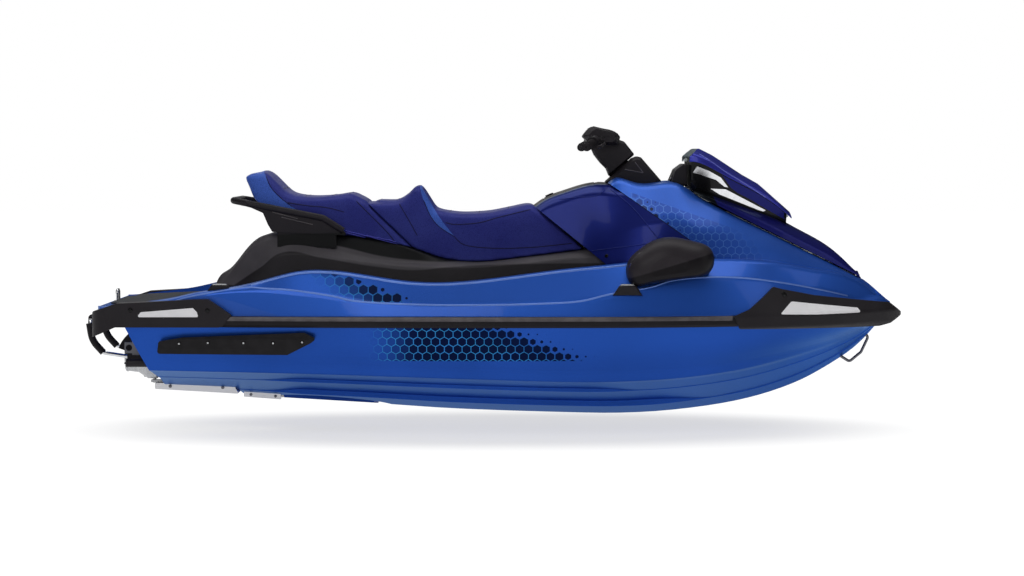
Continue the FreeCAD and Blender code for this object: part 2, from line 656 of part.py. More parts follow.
def visor_half(x):
    wide = VISOR_HALF(x)
    low, high = VISOR_EDGE_Z(x), VISOR_TOP_Z(x)
    return [(0.0, low + min(17, 0.45 * (high - low))), (wide, low), (wide - 4, low + 0.4 * (high - low)),
            (0.6 * wide, low + 0.94 * (high - low)), (0.0, high)]


def make_visor_base(hood, cowl, visor):
    base = body_along(stations(HOOD_REAR_X, 1206, 80), visor_base_half, [0, 12, 3, 0])
    base = base.cut(hood).cut(raised(cowl)).cut(visor)
    return max(base.Solids, key=lambda solid: solid.Volume)


def make_visor():
    body = body_along(stations(HOOD_REAR_X - 10, 1236, 74), visor_half, [0, 4, 14, 30, 0])
    return body.common(side_prism(VISOR_OUTLINE, -FAR, FAR, VISOR_ROUNDING))


def pedestal_half(x):
    foot, top = JOINT_Z + 4, SEAT_BASE_Z(x)
    edge = min(PEDESTAL_EDGE_Z(x), top - 4)
    ridge = min(PEDESTAL_RIDGE_Z(x), edge - 12)
    return [(0.0, foot), (PEDESTAL_FOOT_Y(x), foot), (PEDESTAL_FOOT_Y(x), min(ridge - 16, 240)),
            (PEDESTAL_RIDGE_Y(x), ridge), (PEDESTAL_TOP_Y(x), edge), (PEDESTAL_SEAT_Y(x), top), (0.0, top)]


def make_pedestal(deck):
    body = body_along(PEDESTAL_PLACES, pedestal_half, [0, 0, 8, 5, 5, 12, 0])
    return body.cut(deck).cut(engine_bay(60))


def cover_half(x):
    top = COVER_TOP_Z(x)
    foot = 300.0
    waist = 400.0
    return [(0.0, foot), (COVER_FOOT_Y(x), foot), (COVER_FOOT_Y(x), waist),
            (COVER_SIDE_Y(x), COVER_SIDE_Z(x)), (COVER_SHOULDER_Y(x), top - 44),
            (COVER_TOP_Y(x), top - 10), (0.0, top)]


def cover_body():
    return body_along(stations(130, 880, 75), cover_half, [0, 0, 24, 8, 12, 18, 0])


def top_panel():
    """The black panel on top of the side covers, from the seat to the steering cover."""
    xs = stations(150, 468, 40)
    top = [(x, COVER_TOP_Z(x) + 40) for x in xs]
    low = [(x, COVER_TOP_Z(x) - PANEL_THICK) for x in reversed(xs)]
    return side_prism(top + low, -PANEL_HALF, PANEL_HALF)


def lid_outline(gap):
    return plan_prism(
        [(LID_REAR_X + gap, -LID_HALF + gap), (LID_REAR_X + gap, LID_HALF - gap),
         (LID_FRONT_X - gap, LID_HALF - gap), (LID_FRONT_X - gap, -LID_HALF + gap)], 500, 900, 14
    )


def lid_hinge(play):
    """The lid's barrel with its two pins; play is the room round them."""
    x, z = LID_HINGE
    barrel = cylinder(LID_BARREL + play, (x, -LID_BARREL_HALF - 6 * play, z), (x, LID_BARREL_HALF + 6 * play, z))
    return barrel.fuse(cylinder(LID_PIN + play, (x, -LID_PIN_HALF - play, z), (x, LID_PIN_HALF + play, z)))


def lid_neck():
    """Joins the lid to its barrel."""
    x, z = LID_HINGE
    points = [(x - LID_GAP - 6, z - 3), (x, z - 3), (x, z + 3), (x - LID_GAP - 6, z + 3)]
    return side_prism(points, -LID_BARREL_HALF, LID_BARREL_HALF)


def lid_slot():
    """The slot in the panel that the barrel and its neck turn in, open at the top."""
    x, z = LID_HINGE
    reach, half = LID_BARREL + 2, LID_BARREL_HALF + 2
    return Part.makeBox(LID_GAP + reach, 2 * half, 60, Vector(x - LID_GAP, -half, z - reach))


def make_console(pedestal, deck, steering_cover):
    body = cover_body().cut(behind(SEAT_FRONT_CUT, -SEAT_GAP))
    body = body.common(behind(COVER_CUT, COVER_GAP))
    body = body.cut(steering_cover)
    panel = body.common(top_panel())
    covers = body.cut(top_panel()).cut(deck).cut(pedestal)
    bin_cut = Part.makeBox(
        LID_FRONT_X - LID_REAR_X - 40, 2 * LID_HALF - 30, 400,
        Vector(LID_REAR_X + 20, -LID_HALF + 15, 700 - PANEL_THICK - BIN_DEPTH),
    )
    lid = panel.common(lid_outline(LID_GAP)).fuse([lid_neck(), lid_hinge(0.0)])
    panel = panel.cut(lid_outline(0.0)).cut(lid_hinge(SHAFT_PLAY)).cut(lid_slot())
    return covers.cut(bin_cut), panel, lid


def make_steering_cover(cowl):
    outline = [(462, 690), (462, 719), (571, 815), (591, 823), (608, 819), (692, 722), (692, 690)]
    cover = pillow(outline, 0, 78, 22, 0.8, [0, 4, 10, 10, 10, 14, 0])
    return cover.cut(cowl).cut(steering_shaft(STEER_SHAFT_RADIUS + SHAFT_PLAY, 20, -STEER_SHAFT_DEPTH - 2))


def steer_point(along, up):
    """A point in the plane of symmetry: along the cover's sloping face and up off it."""
    ux, uz = STEER_SLOPE[1], -STEER_SLOPE[0]
    return STEER_AT[0] + along * ux + up * STEER_SLOPE[0], STEER_AT[1] + along * uz + up * STEER_SLOPE[1]


def steering_shaft(radius, top, foot):
    (x0, z0), (x1, z1) = steer_point(0, foot), steer_point(0, top)
    return cylinder(radius, (x0, 0, z0), (x1, 0, z1))


def make_column():
    low_rear = steer_point(-46, STEER_GAP)
    low_front = steer_point(58, STEER_GAP)
    outline = [low_rear, (464, 772), (439, 797), (414, 829), (402, 856), (470, 908), (540, 884), (583, 830), low_front]
    neck = pillow(outline, 0, 46, 14, 0.86, [3, 10, 10, 10, 10, 20, 20, 8, 3])
    return neck.fuse(steering_shaft(STEER_SHAFT_RADIUS, 30, -STEER_SHAFT_DEPTH))


def make_pad(column):
    outline = [(402, 868), (364, 905), (385, 932), (409, 946), (451, 936), (484, 930), (509, 919), (522, 903), (512, 868)]
    pad = pillow(outline, 0, 112, 40, 0.7, [8, 8, 10, 14, 14, 10, 8, 10, 10])
    return pad.cut(column)


def bar_points(side):
    return [(470, 0, 893), (452, side * 92, 898), (404, side * 262, 879), (GRIP_END[0], side * GRIP_END[1], GRIP_END[2])]


def make_bars(column, pad):
    bars = [tube(bar_points(side), BAR_RADIUS, 40) for side in (1, -1)]
    made = bars[0].fuse(bars[1])
    return made.cut(column).cut(pad)


def along_bar(distance, side):
    """The point this far in from the bar's tip, on its outer run."""
    tip = Vector(GRIP_END[0], side * GRIP_END[1], GRIP_END[2])
    inner = Vector(*bar_points(side)[2])
    return tip + (inner - tip).normalize() * distance


def ring_on_bar(near, far, outer, inner, side):
    a, b = along_bar(near, side), along_bar(far, side)
    return cylinder(outer, a, b).cut(cylinder(inner, a, b))


def make_grips():
    made = []
    for side in (1, -1):
        grip = cylinder(GRIP_RADIUS, along_bar(-4, side), along_bar(GRIP_LENGTH, side))
        flange = cylinder(GRIP_RADIUS + 5, along_bar(GRIP_LENGTH - 6, side), along_bar(GRIP_LENGTH, side))
        core = cylinder(BAR_RADIUS, along_bar(0, side), along_bar(GRIP_LENGTH + 1, side))
        made.append(grip.fuse(flange).cut(core))
    return Part.makeCompound(made)


def make_switches(bars):
    made = []
    for side in (1, -1):
        a, b = along_bar(GRIP_LENGTH + 3, side), along_bar(GRIP_LENGTH + 50, side)
        body = cylinder(24, a, b)
        made.append(body)
    return Part.makeCompound(made).cut(bars)


def make_levers(switches, bars):
    made = []
    for side in (1, -1):
        root = along_bar(GRIP_LENGTH + 28, side)
        tip = along_bar(46, side)
        ahead = Vector(46, 0, -6)
        points = [root + Vector(20, 0, 0), root + ahead, tip + ahead, tip + Vector(34, side * 18, -6)]
        made.append(tube([tuple(p) for p in points], 6.5, 12))
    return Part.makeCompound(made).cut(switches).cut(bars)


def make_display():
    outline = [(724, 700), (745, 768), (779, 793), (798, 789), (798, 700)]
    body = pillow(outline, 0, 104, 24, 0.86, [0, 14, 8, 4, 0])
    face = side_prism([(730, 722), (748, 764), (753, 762), (735, 720)], -76, 76)
    return body.cut(face), face


def towards(start, end, distance):
    """The point this far from start on the way to end."""
    length = math.hypot(end[0] - start[0], end[1] - start[1])
    return tuple(a + (b - a) * distance / length for a, b in zip(start, end))


def underside(foot):
    """Points along a cushion's underside, which rests on the pedestal, from its front to its rear."""
    front, rear = foot
    return [(x, SEAT_BASE_Z(x) + SEAT_REST) for x in reversed(stations(rear, front, 60))]


def drawn_in(top, low, depth):
    """A cushion's crest moved inwards by depth; its two ends slide along the edges below them."""
    moved = [towards(top[0], low[-1], depth)]
    for (x0, z0), (x, z), (x1, z1) in zip(top, top[1:], top[2:]):
        length = math.hypot(x1 - x0, z1 - z0)
        moved.append((x + depth * (z1 - z0) / length, z - depth * (x1 - x0) / length))
    return moved + [towards(top[-1], low[0], depth)]


def upholstery(top, foot, back, width):
    """A cushion: its outline in side view, rounded off towards its sides.
    foot is the run of its underside and back the corners between that and the crest."""
    base = underside(foot)
    low = base + back
    rings = [(-w, d) for w, d in CUSHION_EDGE] + [(w, d) for w, d in reversed(CUSHION_EDGE[:-1])]
    wires = []
    for share, depth in rings:
        ring = drawn_in(top, low, depth) + low
        points = vertical_points(ring, share * width)
        crest, sole = Part.BSplineCurve(), Part.BSplineCurve()
        crest.interpolate(points[:len(top)])
        sole.interpolate(points[len(top):len(top) + len(base)])
        around = points[len(top) + len(base) - 1:] + points[:1]
        sides = [Part.LineSegment(p, q).toShape() for p, q in zip(around, around[1:])]
        front = Part.LineSegment(points[len(top) - 1], points[len(top)]).toShape()
        wires.append(Part.Wire([crest.toShape(), front, sole.toShape()] + sides))
    return loft(wires)


def make_seats():
    rear = upholstery(SEAT_REAR_TOP, SEAT_REAR_FOOT, SEAT_REAR_BACK, SEAT_REAR_HALF)
    front = upholstery(SEAT_FRONT_TOP, SEAT_FRONT_FOOT, [], SEAT_FRONT_HALF)
    return rear, front


def make_grab_handle(seat, pedestal):
    """A tube rail round the back of the rear seat, on a blade down each side."""
    blade = side_prism(HANDLE_BLADE, HANDLE_Y - 9, HANDLE_Y + 5, 5)
    foot = side_prism([(-880, 455), (-880, 530), (-640, 530), (-640, 450)], 206, HANDLE_Y - 2)
    side = blade.fuse(foot.cut(seat).cut(pedestal))
    half = [(-612, HANDLE_Y, 520), (-694, HANDLE_Y, 572), (-870, HANDLE_Y, 606), (-1000, HANDLE_Y - 4, 632)]
    half.append((HANDLE_REAR_X, HANDLE_Y - 56, 643))
    rail = tube(half + [(x, -y, z) for x, y, z in reversed(half)], HANDLE_RAIL, 30)
    return side.fuse([side.mirror(Vector(0, 0, 0), Vector(0, 1, 0)), rail])


def side_loft(first, last, step, section):
    """A loft along the port side through sections given as (y, z) points."""
    wires = []
    for x in stations(first, last, step):
        wires.append(rounded_wire([Vector(x, y, z) for y, z in section(x)]))
    return loft(wires)


def make_rails(hull, deck):
    def section(x):
        y = RAIL_Y(x)
        return [(y - 26, RAIL_LOW_Z + 2), (y + 4, RAIL_LOW_Z), (y + RAIL_OUT, RAIL_LOW_Z + 10),
                (y + RAIL_OUT, RAIL_HIGH_Z - 8), (y + 4, RAIL_HIGH_Z), (y - 26, RAIL_HIGH_Z)]
    rail = side_loft(-1096, 972, 130, section)
    return both_sides(rail.cut(hull).cut(deck))


def bow_bumper_half(x, grow=0.0):
    y = BUMPER_Y(x) + grow
    crease = BUMPER_CREASE_Y(x) + grow
    return [(0.0, 118), (0.9 * y, 118), (y, 142), (y, 192), (crease, BUMPER_TOP_Z(x)), (0.0, BUMPER_TOP_Z(x) + 6)]


def bow_core_half(x):
    """The inside of the bow bumper, a wall's thickness in from its outer face."""
    y = max(BUMPER_Y(x) - BUMPER_WALL, 6)
    crease = max(bow_bumper_half(x)[4][0] - BUMPER_WALL, 4)
    return [(0.0, 60), (y, 60), (y, 192), (crease, BUMPER_TOP_Z(x)), (0.8 * crease, BUMPER_TOP_Z(x) + 80),
            (0.0, BUMPER_TOP_Z(x) + 80)]


def make_bow_bumper():
    body = body_along(BUMPER_PLACES, bow_bumper_half, BUMPER_SOFT)
    core = body_along(stations(900, 1580, 75), bow_core_half, [0, 0, 0, 0, 0, 0])
    outline = side_prism(
        [(957, 189), (1020, 214), (1080, 262), (1123, 301), (1162, 290), (1300, 262), (1488, 237),
         (1600, 224), (1640, 219), (1697, 176), (1697, 168), (1640, 136), (1587, 126), (980, 137)],
        -FAR, FAR, [4, 30, 30, 12, 10, 0, 0, 0, 10, 3, 3, 10, 0, 8]
    )
    return body.common(outline).cut(core)


def make_bow_inserts():
    """Thin plates let into the bumper's flanks and standing slightly proud of them."""
    outline = [(1146, 193), (1196, 242), (1484, 207), (1500, 188), (1300, 188)]
    places = BUMPER_PLACES[:-4]
    skin = body_along(places, lambda x: bow_bumper_half(x, INSERT_PROUD), BUMPER_SOFT)
    core = body_along(places, lambda x: bow_bumper_half(x, -INSERT_DEPTH), BUMPER_SOFT)
    plates = skin.common(side_prism(outline, -FAR, FAR, [4, 14, 8, 6, 0])).cut(core)
    return Part.makeCompound([plate for plate in plates.Solids if abs(plate.CenterOfMass.y) > 60])


def stern_plan(grow, inner):
    """Plan of a stern corner piece: the deck's edge grown outwards, back to an inner edge."""
    xs = stations(-1030, -1470, 110)
    run = [(x, RAIL_Y(x) + grow) for x in xs]
    corner = [(DECK_STERN_X - grow, RAIL_Y(-1560) - 4 + grow), (DECK_STERN_X - grow, inner)]
    back = [(DECK_STERN_X + 40, inner), (DECK_STERN_X + 60, RAIL_Y(-1500) - 70), (-1030, RAIL_Y(-1030) - 40)]
    return run + corner + back, [0] * len(run) + [STERN_CORNER, 6, 0, 0, 0]


def make_stern_bumpers(hull, deck):
    plan, radii = stern_plan(BUMPER_OUT, STERN_INNER_Y)
    body = plan_prism(plan, 0, 400, radii)
    outline = side_prism(
        [(-1610, 98), (-1606, 196), (-1597, 206), (-1498, 239), (-1359, 246), (-1201, 257),
         (-1127, 259), (-1080, 228), (-1034, 196), (-1070, 152), (-1084, 147), (-1503, 144)],
        -FAR, FAR, [2, 6, 6, 20, 0, 20, 20, 20, 6, 6, 4, 10]
    )
    return both_sides(body.common(outline).cut(hull).cut(deck))


def make_stern_inserts():
    skin, radii = stern_plan(BUMPER_OUT + INSERT_PROUD, STERN_INNER_Y)
    core = stern_plan(BUMPER_OUT - INSERT_DEPTH, STERN_INNER_Y)[0]
    plates = plan_prism(skin, 0, 400, radii).cut(plan_prism(core, -10, 500, radii))
    outline = side_prism(
        [(-1414, 186), (-1398, 206), (-1188, 224), (-1172, 208), (-1166, 188)], 0, FAR, 5
    )
    return both_sides(max(plates.common(outline).Solids, key=lambda solid: solid.BoundBox.YMax))


def make_sponsons(hull):
    outline = [(-1335, 40), (-1327, 90), (-1231, 106), (-745, 127), (-698, 104), (-720, 86), (-814, 38)]
    def section(x):
        y = CHINE_Y(x) + 0.62 * (RAIL_Y(x) - CHINE_Y(x))
        return [(y - 60, 30), (y + 20, 30), (y + 34, 60), (y + 40, 100), (y + 34, 132), (y - 60, 132)]
    body = side_loft(-1345, -680, 110, section)
    return both_sides(body.common(side_prism(outline, 0, FAR, 10)).cut(hull))


def smooth_ring(points, y, scale, slide):
    """A closed fair curve through side-view points, scaled about their middle and slid in z."""
    cx = sum(p[0] for p in points) / len(points)
    cz = sum(p[1] for p in points) / len(points)
    ring = [(cx + (x - cx) * scale, cz + (z - cz) * scale + slide) for x, z in points]
    curve = Part.BSplineCurve()
    curve.interpolate(vertical_points(ring, y), True)
    return Part.Wire(curve.toShape())


def make_mirrors(deck, cowl):
    """Rounded pods on the front flanks, each with a glass in its rear face."""
    pod = loft([smooth_ring(MIRROR_OUTLINE, MIRROR_Y + dy, scale, slide) for dy, scale, slide in MIRROR_RINGS])
    seat = side_prism(MIRROR_GLASS, MIRROR_Y - MIRROR_GLASS_HALF, MIRROR_Y + MIRROR_GLASS_HALF)
    pod = pod.cut(deck).cut(cowl)
    return both_sides(pod.cut(seat)), both_sides(seat.common(pod))


def make_cleats(deck, mirrors):
    made = []
    for x, y, z in ((-1090, 492, 297), (531, 558, 298)):
        base = pillow([(x - 58, z - 24), (x - 30, z + 16), (x + 34, z + 16), (x + 60, z - 24)], y, 17, 6, 0.85, [0, 10, 10, 0])
        made.append(base.cut(deck).cut(mirrors))
    return both_sides(Part.makeCompound(made))


def make_bow_eye(hull):
    loop = tube([(1440, 0, -5), (1482, 0, -32), (1530, 0, 8), (1560, 0, 72), (1530, 0, 98)], 6, 14)
    return loop.cut(hull)


def make_tow_eyes(hull):
    made = []
    for y in (300.0, -300.0):
        plate = Part.makeBox(10, 52, 60, Vector(-1462, y - 26, 20))
        ear = Part.makeBox(44, 12, 44, Vector(-1496, y - 6, 26))
        hole = cylinder(EYE_BORE / 2, (-1478, y - 30, 48), (-1478, y + 30, 48))
        base = Part.makeBox(90, 52, 60, Vector(-1462, y - 26, 20)).cut(hull)
        made.append(base.fuse(plate).fuse(ear).cut(hole))
    return Part.makeCompound(made)


def revolved(points):
    """A ring or cone about the pump's axis from (x, radius) points."""
    wire = rounded_wire([Vector(x, 0, SHAFT_Z + r) for x, r in points])
    return Part.Face(wire).revolve(Vector(0, 0, SHAFT_Z), Vector(1, 0, 0), 360)


def make_pump():
    shell = revolved([
        (PUMP_FRONT_X, PUMP_BORE), (PUMP_FRONT_X, PUMP_OUTER + 14), (PUMP_FRONT_X - 16, PUMP_OUTER + 14),
        (PUMP_FRONT_X - 16, PUMP_OUTER), (PUMP_REAR_X, PUMP_OUTER), (OUTLET_X, OUTLET_OUTER),
        (NOZZLE_X - 12, OUTLET_OUTER), (NOZZLE_X - 12, OUTLET_BORE), (OUTLET_X, OUTLET_BORE),
        (PUMP_REAR_X, PUMP_BORE),
    ])
    hub = revolved([(-1216, SHAFT_RADIUS + 0.3), (-1216, 36), (-1290, 36), (-1352, 10), (-1352, 0), (-1276, 0), (-1276, SHAFT_RADIUS + 0.3)])
    vane = Part.makeBox(60, 7, PUMP_BORE + 4 - 33, Vector(-1280, -3.5, SHAFT_Z + 33))
    vanes = [vane.rotate(Vector(0, 0, SHAFT_Z), Vector(1, 0, 0), 60 * i) for i in range(6)]
    made = shell.fuse([hub] + vanes)
    for side in (1, -1):
        z = SHAFT_Z + side * LUG_IN if side > 0 else SHAFT_Z - LUG_OUT
        lug = Part.makeBox(PUMP_REAR_X - NOZZLE_X + 14, 32, LUG_OUT - LUG_IN, Vector(NOZZLE_X - 14, -16, z))
        hole = cylinder(PIN_RADIUS + 0.3, (NOZZLE_X, 0, z - 5), (NOZZLE_X, 0, z + 20))
        made = made.fuse(lug).cut(hole)
        y = BRACKET_Y[0] if side > 0 else -BRACKET_Y[1]
        bracket = Part.makeBox(PUMP_REAR_X - NOZZLE_X + 24, BRACKET_Y[1] - BRACKET_Y[0], 40, Vector(NOZZLE_X - 16, y, SHAFT_Z - 20))
        pin_hole = cylinder(PIN_RADIUS + 0.3, (NOZZLE_X, y - 5, SHAFT_Z), (NOZZLE_X, y + 20, SHAFT_Z))
        made = made.fuse(bracket).cut(pin_hole)
    return made


def make_nozzle():
    shell = revolved([
        (NOZZLE_X + 12, BELL_BORE), (NOZZLE_X + 12, BELL_OUTER), (NOZZLE_X - 26, BELL_OUTER),
        (NOZZLE_X - 66, 60), (NOZZLE_END_X, 54), (NOZZLE_END_X, 44), (NOZZLE_X - 66, 50),
        (NOZZLE_X - 30, BELL_BORE),
    ])
    for side in (1, -1):
        pin = cylinder(PIN_RADIUS, (NOZZLE_X, 0, SHAFT_Z + side * 82), (NOZZLE_X, 0, SHAFT_Z + side * (LUG_OUT + 3)))
        shell = shell.fuse(pin)
    return shell


def sector(radius_in, radius_out, y_low, y_high):
    """A slice of a ring about the bucket's pivot, between the stowed angles."""
    a, b = math.radians(BUCKET_LOW), math.radians(BUCKET_HIGH)
    def at(radius, angle):
        return Vector(NOZZLE_X - radius * math.cos(angle), y_low, SHAFT_Z + radius * math.sin(angle))
    mid = (a + b) / 2
    outer = Part.Arc(at(radius_out, a), at(radius_out, mid), at(radius_out, b)).toShape()
    inner = Part.Arc(at(radius_in, b), at(radius_in, mid), at(radius_in, a)).toShape()
    edges = [outer, Part.LineSegment(at(radius_out, b), at(radius_in, b)).toShape(), inner,
             Part.LineSegment(at(radius_in, a), at(radius_out, a)).toShape()]
    return Part.Face(Part.Wire(edges)).extrude(Vector(0, y_high - y_low, 0))


def make_bucket():
    shell = sector(BUCKET_IN, BUCKET_OUT, -BUCKET_HALF, BUCKET_HALF)
    for side in (1, -1):
        y = BUCKET_HALF - BUCKET_PLATE if side > 0 else -BUCKET_HALF
        plate = sector(10, BUCKET_OUT, y, y + BUCKET_PLATE)
        hub = cylinder(16, (NOZZLE_X, y, SHAFT_Z), (NOZZLE_X, y + BUCKET_PLATE, SHAFT_Z))
        pin = cylinder(PIN_RADIUS, (NOZZLE_X, side * BRACKET_Y[0], SHAFT_Z), (NOZZLE_X, side * BUCKET_HALF, SHAFT_Z))
        shell = shell.fuse([plate, hub, pin])
    return shell


def make_impeller():
    hub = revolved([(-1206, SHAFT_RADIUS), (-1206, HUB_RADIUS), (-1110, HUB_RADIUS - 4), (-1110, SHAFT_RADIUS)])
    blades = []
    for i in range(4):
        wires = []
        for k in range(7):
            x = -1202 + 14 * k
            turn = 360 * i / 4 + 15 * k
            ring = [Vector(x, -3.5, SHAFT_Z + 20), Vector(x, 3.5, SHAFT_Z + 20),
                    Vector(x, 3.5, SHAFT_Z + IMPELLER_RADIUS), Vector(x, -3.5, SHAFT_Z + IMPELLER_RADIUS)]
            wires.append(rounded_wire(ring).rotate(Vector(0, 0, SHAFT_Z), Vector(1, 0, 0), turn))
        blades.append(loft(wires, True))
    return hub.fuse(blades).cut(cylinder(SHAFT_RADIUS, (-1300, 0, SHAFT_Z), (-1000, 0, SHAFT_Z)))


def make_shaft():
    return cylinder(SHAFT_RADIUS, (-1262, 0, SHAFT_Z), (ENGINE_FOOT[0] - 6, 0, SHAFT_Z))


def make_ride_plate():
    plate = side_prism(plate_outline(PLATE_GAP, None), -PLATE_HALF + PLATE_GAP, PLATE_HALF - PLATE_GAP, 3)
    return plate.cut(cylinder(PUMP_OUTER + 18, (-1700, 0, SHAFT_Z), (-1000, 0, SHAFT_Z)))


def make_grate():
    """The shoe behind the intake's mouth and the bars across it, all along the hull's bottom."""
    low_stern, low_front = KEEL_Z(SHOE_STERN_X), KEEL_Z(SHOE_FRONT_X)
    shoe = side_prism(
        [(SHOE_STERN_X, low_stern), (SHOE_STERN_X, low_stern + 46), (SHOE_FRONT_X, low_front + 46),
         (SHOE_FRONT_X, low_front)], -SHOE_HALF, SHOE_HALF
    )
    made = []
    for i in range(-2, 3):
        y = GRATE_PITCH * i
        rear, front = bottom_z(SHOE_FRONT_X - 6, y), bottom_z(GRATE_FRONT_X, y)
        outline = [(SHOE_FRONT_X - 6, rear + 2), (SHOE_FRONT_X - 6, rear + 16),
                   (GRATE_FRONT_X, front + 16), (GRATE_FRONT_X, front + 2)]
        made.append(side_prism(outline, y - GRATE_BAR / 2, y + GRATE_BAR / 2))
    reach = 2 * GRATE_PITCH + 6
    keel, side = bottom_z(GRATE_FRONT_X, 0), bottom_z(GRATE_FRONT_X, reach)
    across = [(-reach, side + 2), (0, keel + 2), (reach, side + 2), (reach, side + 16), (0, keel + 16), (-reach, side + 16)]
    wire = rounded_wire([Vector(GRATE_FRONT_X - 12, y, z) for y, z in across])
    made.append(Part.Face(wire).extrude(Vector(16, 0, 0)))
    return shoe.cut(cylinder(DUCT_RADIUS, *duct_axis())).fuse(made)


def make_engine():
    length, width, height = ENGINE_SIZE
    return Part.makeBox(length, width, height, Vector(ENGINE_FOOT[0], -width / 2, ENGINE_FOOT[1]))


def make_step():
    x, z = STEP_HINGE
    path = [(x, STEP_HALF, z), (-1599, STEP_HALF, 19), (-1645, STEP_HALF, 69), (-1656, STEP_HALF, 150),
            (-1656, -STEP_HALF, 150), (-1645, -STEP_HALF, 69), (-1599, -STEP_HALF, 19), (x, -STEP_HALF, z)]
    frame = tube(path, STEP_ROD, 26)
    for side in (1, -1):
        y = side * STEP_HALF
        frame = frame.fuse(cylinder(13, (x, y - 9, z), (x, y + 9, z)).cut(cylinder(6, (x, y - 9, z), (x, y + 9, z))))
        frame = frame.cut(cylinder(6, (x, y - 9, z), (x, y + 9, z)))
    tread = pillow([(-1668, 128), (-1668, 168), (-1650, 168), (-1636, 128)], 0, 150, 14, 0.9, 5).cut(frame)
    return frame, tread


def make_step_brackets(hull):
    x, z = STEP_HINGE
    made = []
    for side in (1, -1):
        y = side * STEP_HALF
        for edge in (-1, 1):
            ear_y = y + edge * 13.5
            ear = side_prism([(x - 14, z - 14), (x - 14, z + 14), (-1400, z + 34), (-1380, z - 40)], ear_y - 3.5, ear_y + 3.5)
            made.append(ear)
        made.append(cylinder(5.6, (x, y - 16, z), (x, y + 16, z)))
        made.append(Part.makeBox(70, 60, 70, Vector(-1440, y - 30, z - 36)))
    body = made[0].fuse(made[1:])
    return body.cut(hull)


def mat(plan, radius, z_low, z_high):
    return plan_prism(plan, z_low, z_high, radius)


def floor_band(thick):
    """The layer just above the well's floor."""
    low = [(x, z) for x, z in WELL_FLOOR]
    high = [(x, z + thick) for x, z in reversed(WELL_FLOOR)]
    return side_prism(low + high, -FAR, FAR)


def make_mats(pedestal):
    platform = plan_prism(
        [(-1560, -244), (-1560, 244), (-1530, 268), (-1505, 398), (-1230, 430), (-1175, 400),
         (-1175, -400), (-1230, -430), (-1505, -398), (-1530, -268)], 100, 400, 30
    ).common(floor_band(MAT_THICKNESS)).cut(pedestal)
    xs = stations(-965, 560, 220)
    outer = [(x, WELL_HALF(x) - 16) for x in xs]
    inner = [(560, 318), (-965, 312)]
    strip = plan_prism(outer + inner, 100, 400, [20] + [0] * (len(xs) - 2) + [20, 20, 20])
    strips = both_sides(strip.common(floor_band(MAT_THICKNESS)))
    return Part.makeCompound(platform.Solids + strips.Solids)


def make_plugs(hull):
    made = []
    for y in (420.0, -420.0):
        made.append(cylinder(16, (-1470, y, -5), (-1380, y, -5)))
    return Part.makeCompound(made).cut(hull)


def make_tow_hook(deck):
    loop = tube([(-1566, 26, 200), (-1566, 26, 268), (-1566, -26, 268), (-1566, -26, 200)], 6, 14)
    return loop.cut(deck)


def main():
    os.makedirs(OUT, exist_ok=True)
    for old in os.listdir(OUT):
        if old.endswith(".step"):
            os.remove(os.path.join(OUT, old))
    hull = make_hull()
    deck = make_deck()
    cowl = make_cowl(deck)
    pedestal = make_pedestal(deck)
    steering_cover = make_steering_cover(cowl)
    covers, panel, lid = make_console(pedestal, deck, steering_cover)
    hinge_seat = hinge_pin(18, 17).fuse(hinge_pin(PIN_RADIUS + SHAFT_PLAY, 27))
    deck, cowl = deck.cut(hinge_seat), cowl.cut(hinge_seat)
    hood = make_hood(cowl, deck)
    visor = make_visor()
    column = make_column()
    pad = make_pad(column)
    bars = make_bars(column, pad)
    switches = make_switches(bars)
    rear_seat, front_seat = make_seats()
    bow_bumper = make_bow_bumper()
    hull, deck = hull.cut(bow_bumper), deck.cut(bow_bumper)
    bow_inserts, stern_inserts = make_bow_inserts(), make_stern_inserts()
    inserts = Part.makeCompound(bow_inserts.Solids + stern_inserts.Solids)
    bow_bumper = bow_bumper.cut(bow_inserts)
    stern_bumpers = make_stern_bumpers(hull, deck).cut(stern_inserts)
    mirrors, glasses = make_mirrors(deck, cowl)
    display, screen = make_display()
    step, tread = make_step()
    mats = make_mats(pedestal)
    tow_eyes = Part.makeCompound(make_bow_eye(hull).Solids + make_tow_eyes(hull).Solids)
    grate = make_grate()
    hull = hull.cut(grate)
    pieces = {
        "hull": hull, "deck": deck, "cowl": cowl, "pedestal": pedestal, "side_covers": covers,
        "console_panel": panel, "glovebox_lid": lid, "hood": hood,
        "visor_base": make_visor_base(hood, cowl, visor), "visor": visor,
        "steering_cover": steering_cover, "column": column, "bar_pad": pad, "handlebar": bars,
        "grips": make_grips(), "switches": switches, "levers": make_levers(switches, bars),
        "display": display.cut(cowl), "screen": screen.cut(cowl),
        "seat_rear": rear_seat, "seat_front": front_seat, "grab_handle": make_grab_handle(rear_seat, pedestal),
        "rub_rails": make_rails(hull, deck).cut(bow_bumper).cut(stern_bumpers),
        "bow_bumper": bow_bumper, "stern_bumpers": stern_bumpers, "bumper_inserts": inserts,
        "sponsons": make_sponsons(hull), "mirror_pods": mirrors, "mirror_glasses": glasses,
        "cleats": make_cleats(deck, mirrors), "tow_eyes": tow_eyes,
        "tow_hook": make_tow_hook(deck), "drain_plugs": make_plugs(hull),
        "jet_pump": make_pump(), "steering_nozzle": make_nozzle(), "reverse_bucket": make_bucket(),
        "impeller": make_impeller(), "drive_shaft": make_shaft(), "ride_plate": make_ride_plate(),
        "intake_grate": grate, "engine": make_engine(), "step_frame": step, "step_tread": tread,
        "step_brackets": make_step_brackets(hull), "deck_mats": mats,
    }
    for name, shape in pieces.items():
        write(name, shape)


main()
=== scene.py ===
import math

import bmesh
import bpy
from mathutils import Matrix, Vector
from mathutils.bvhtree import BVHTree


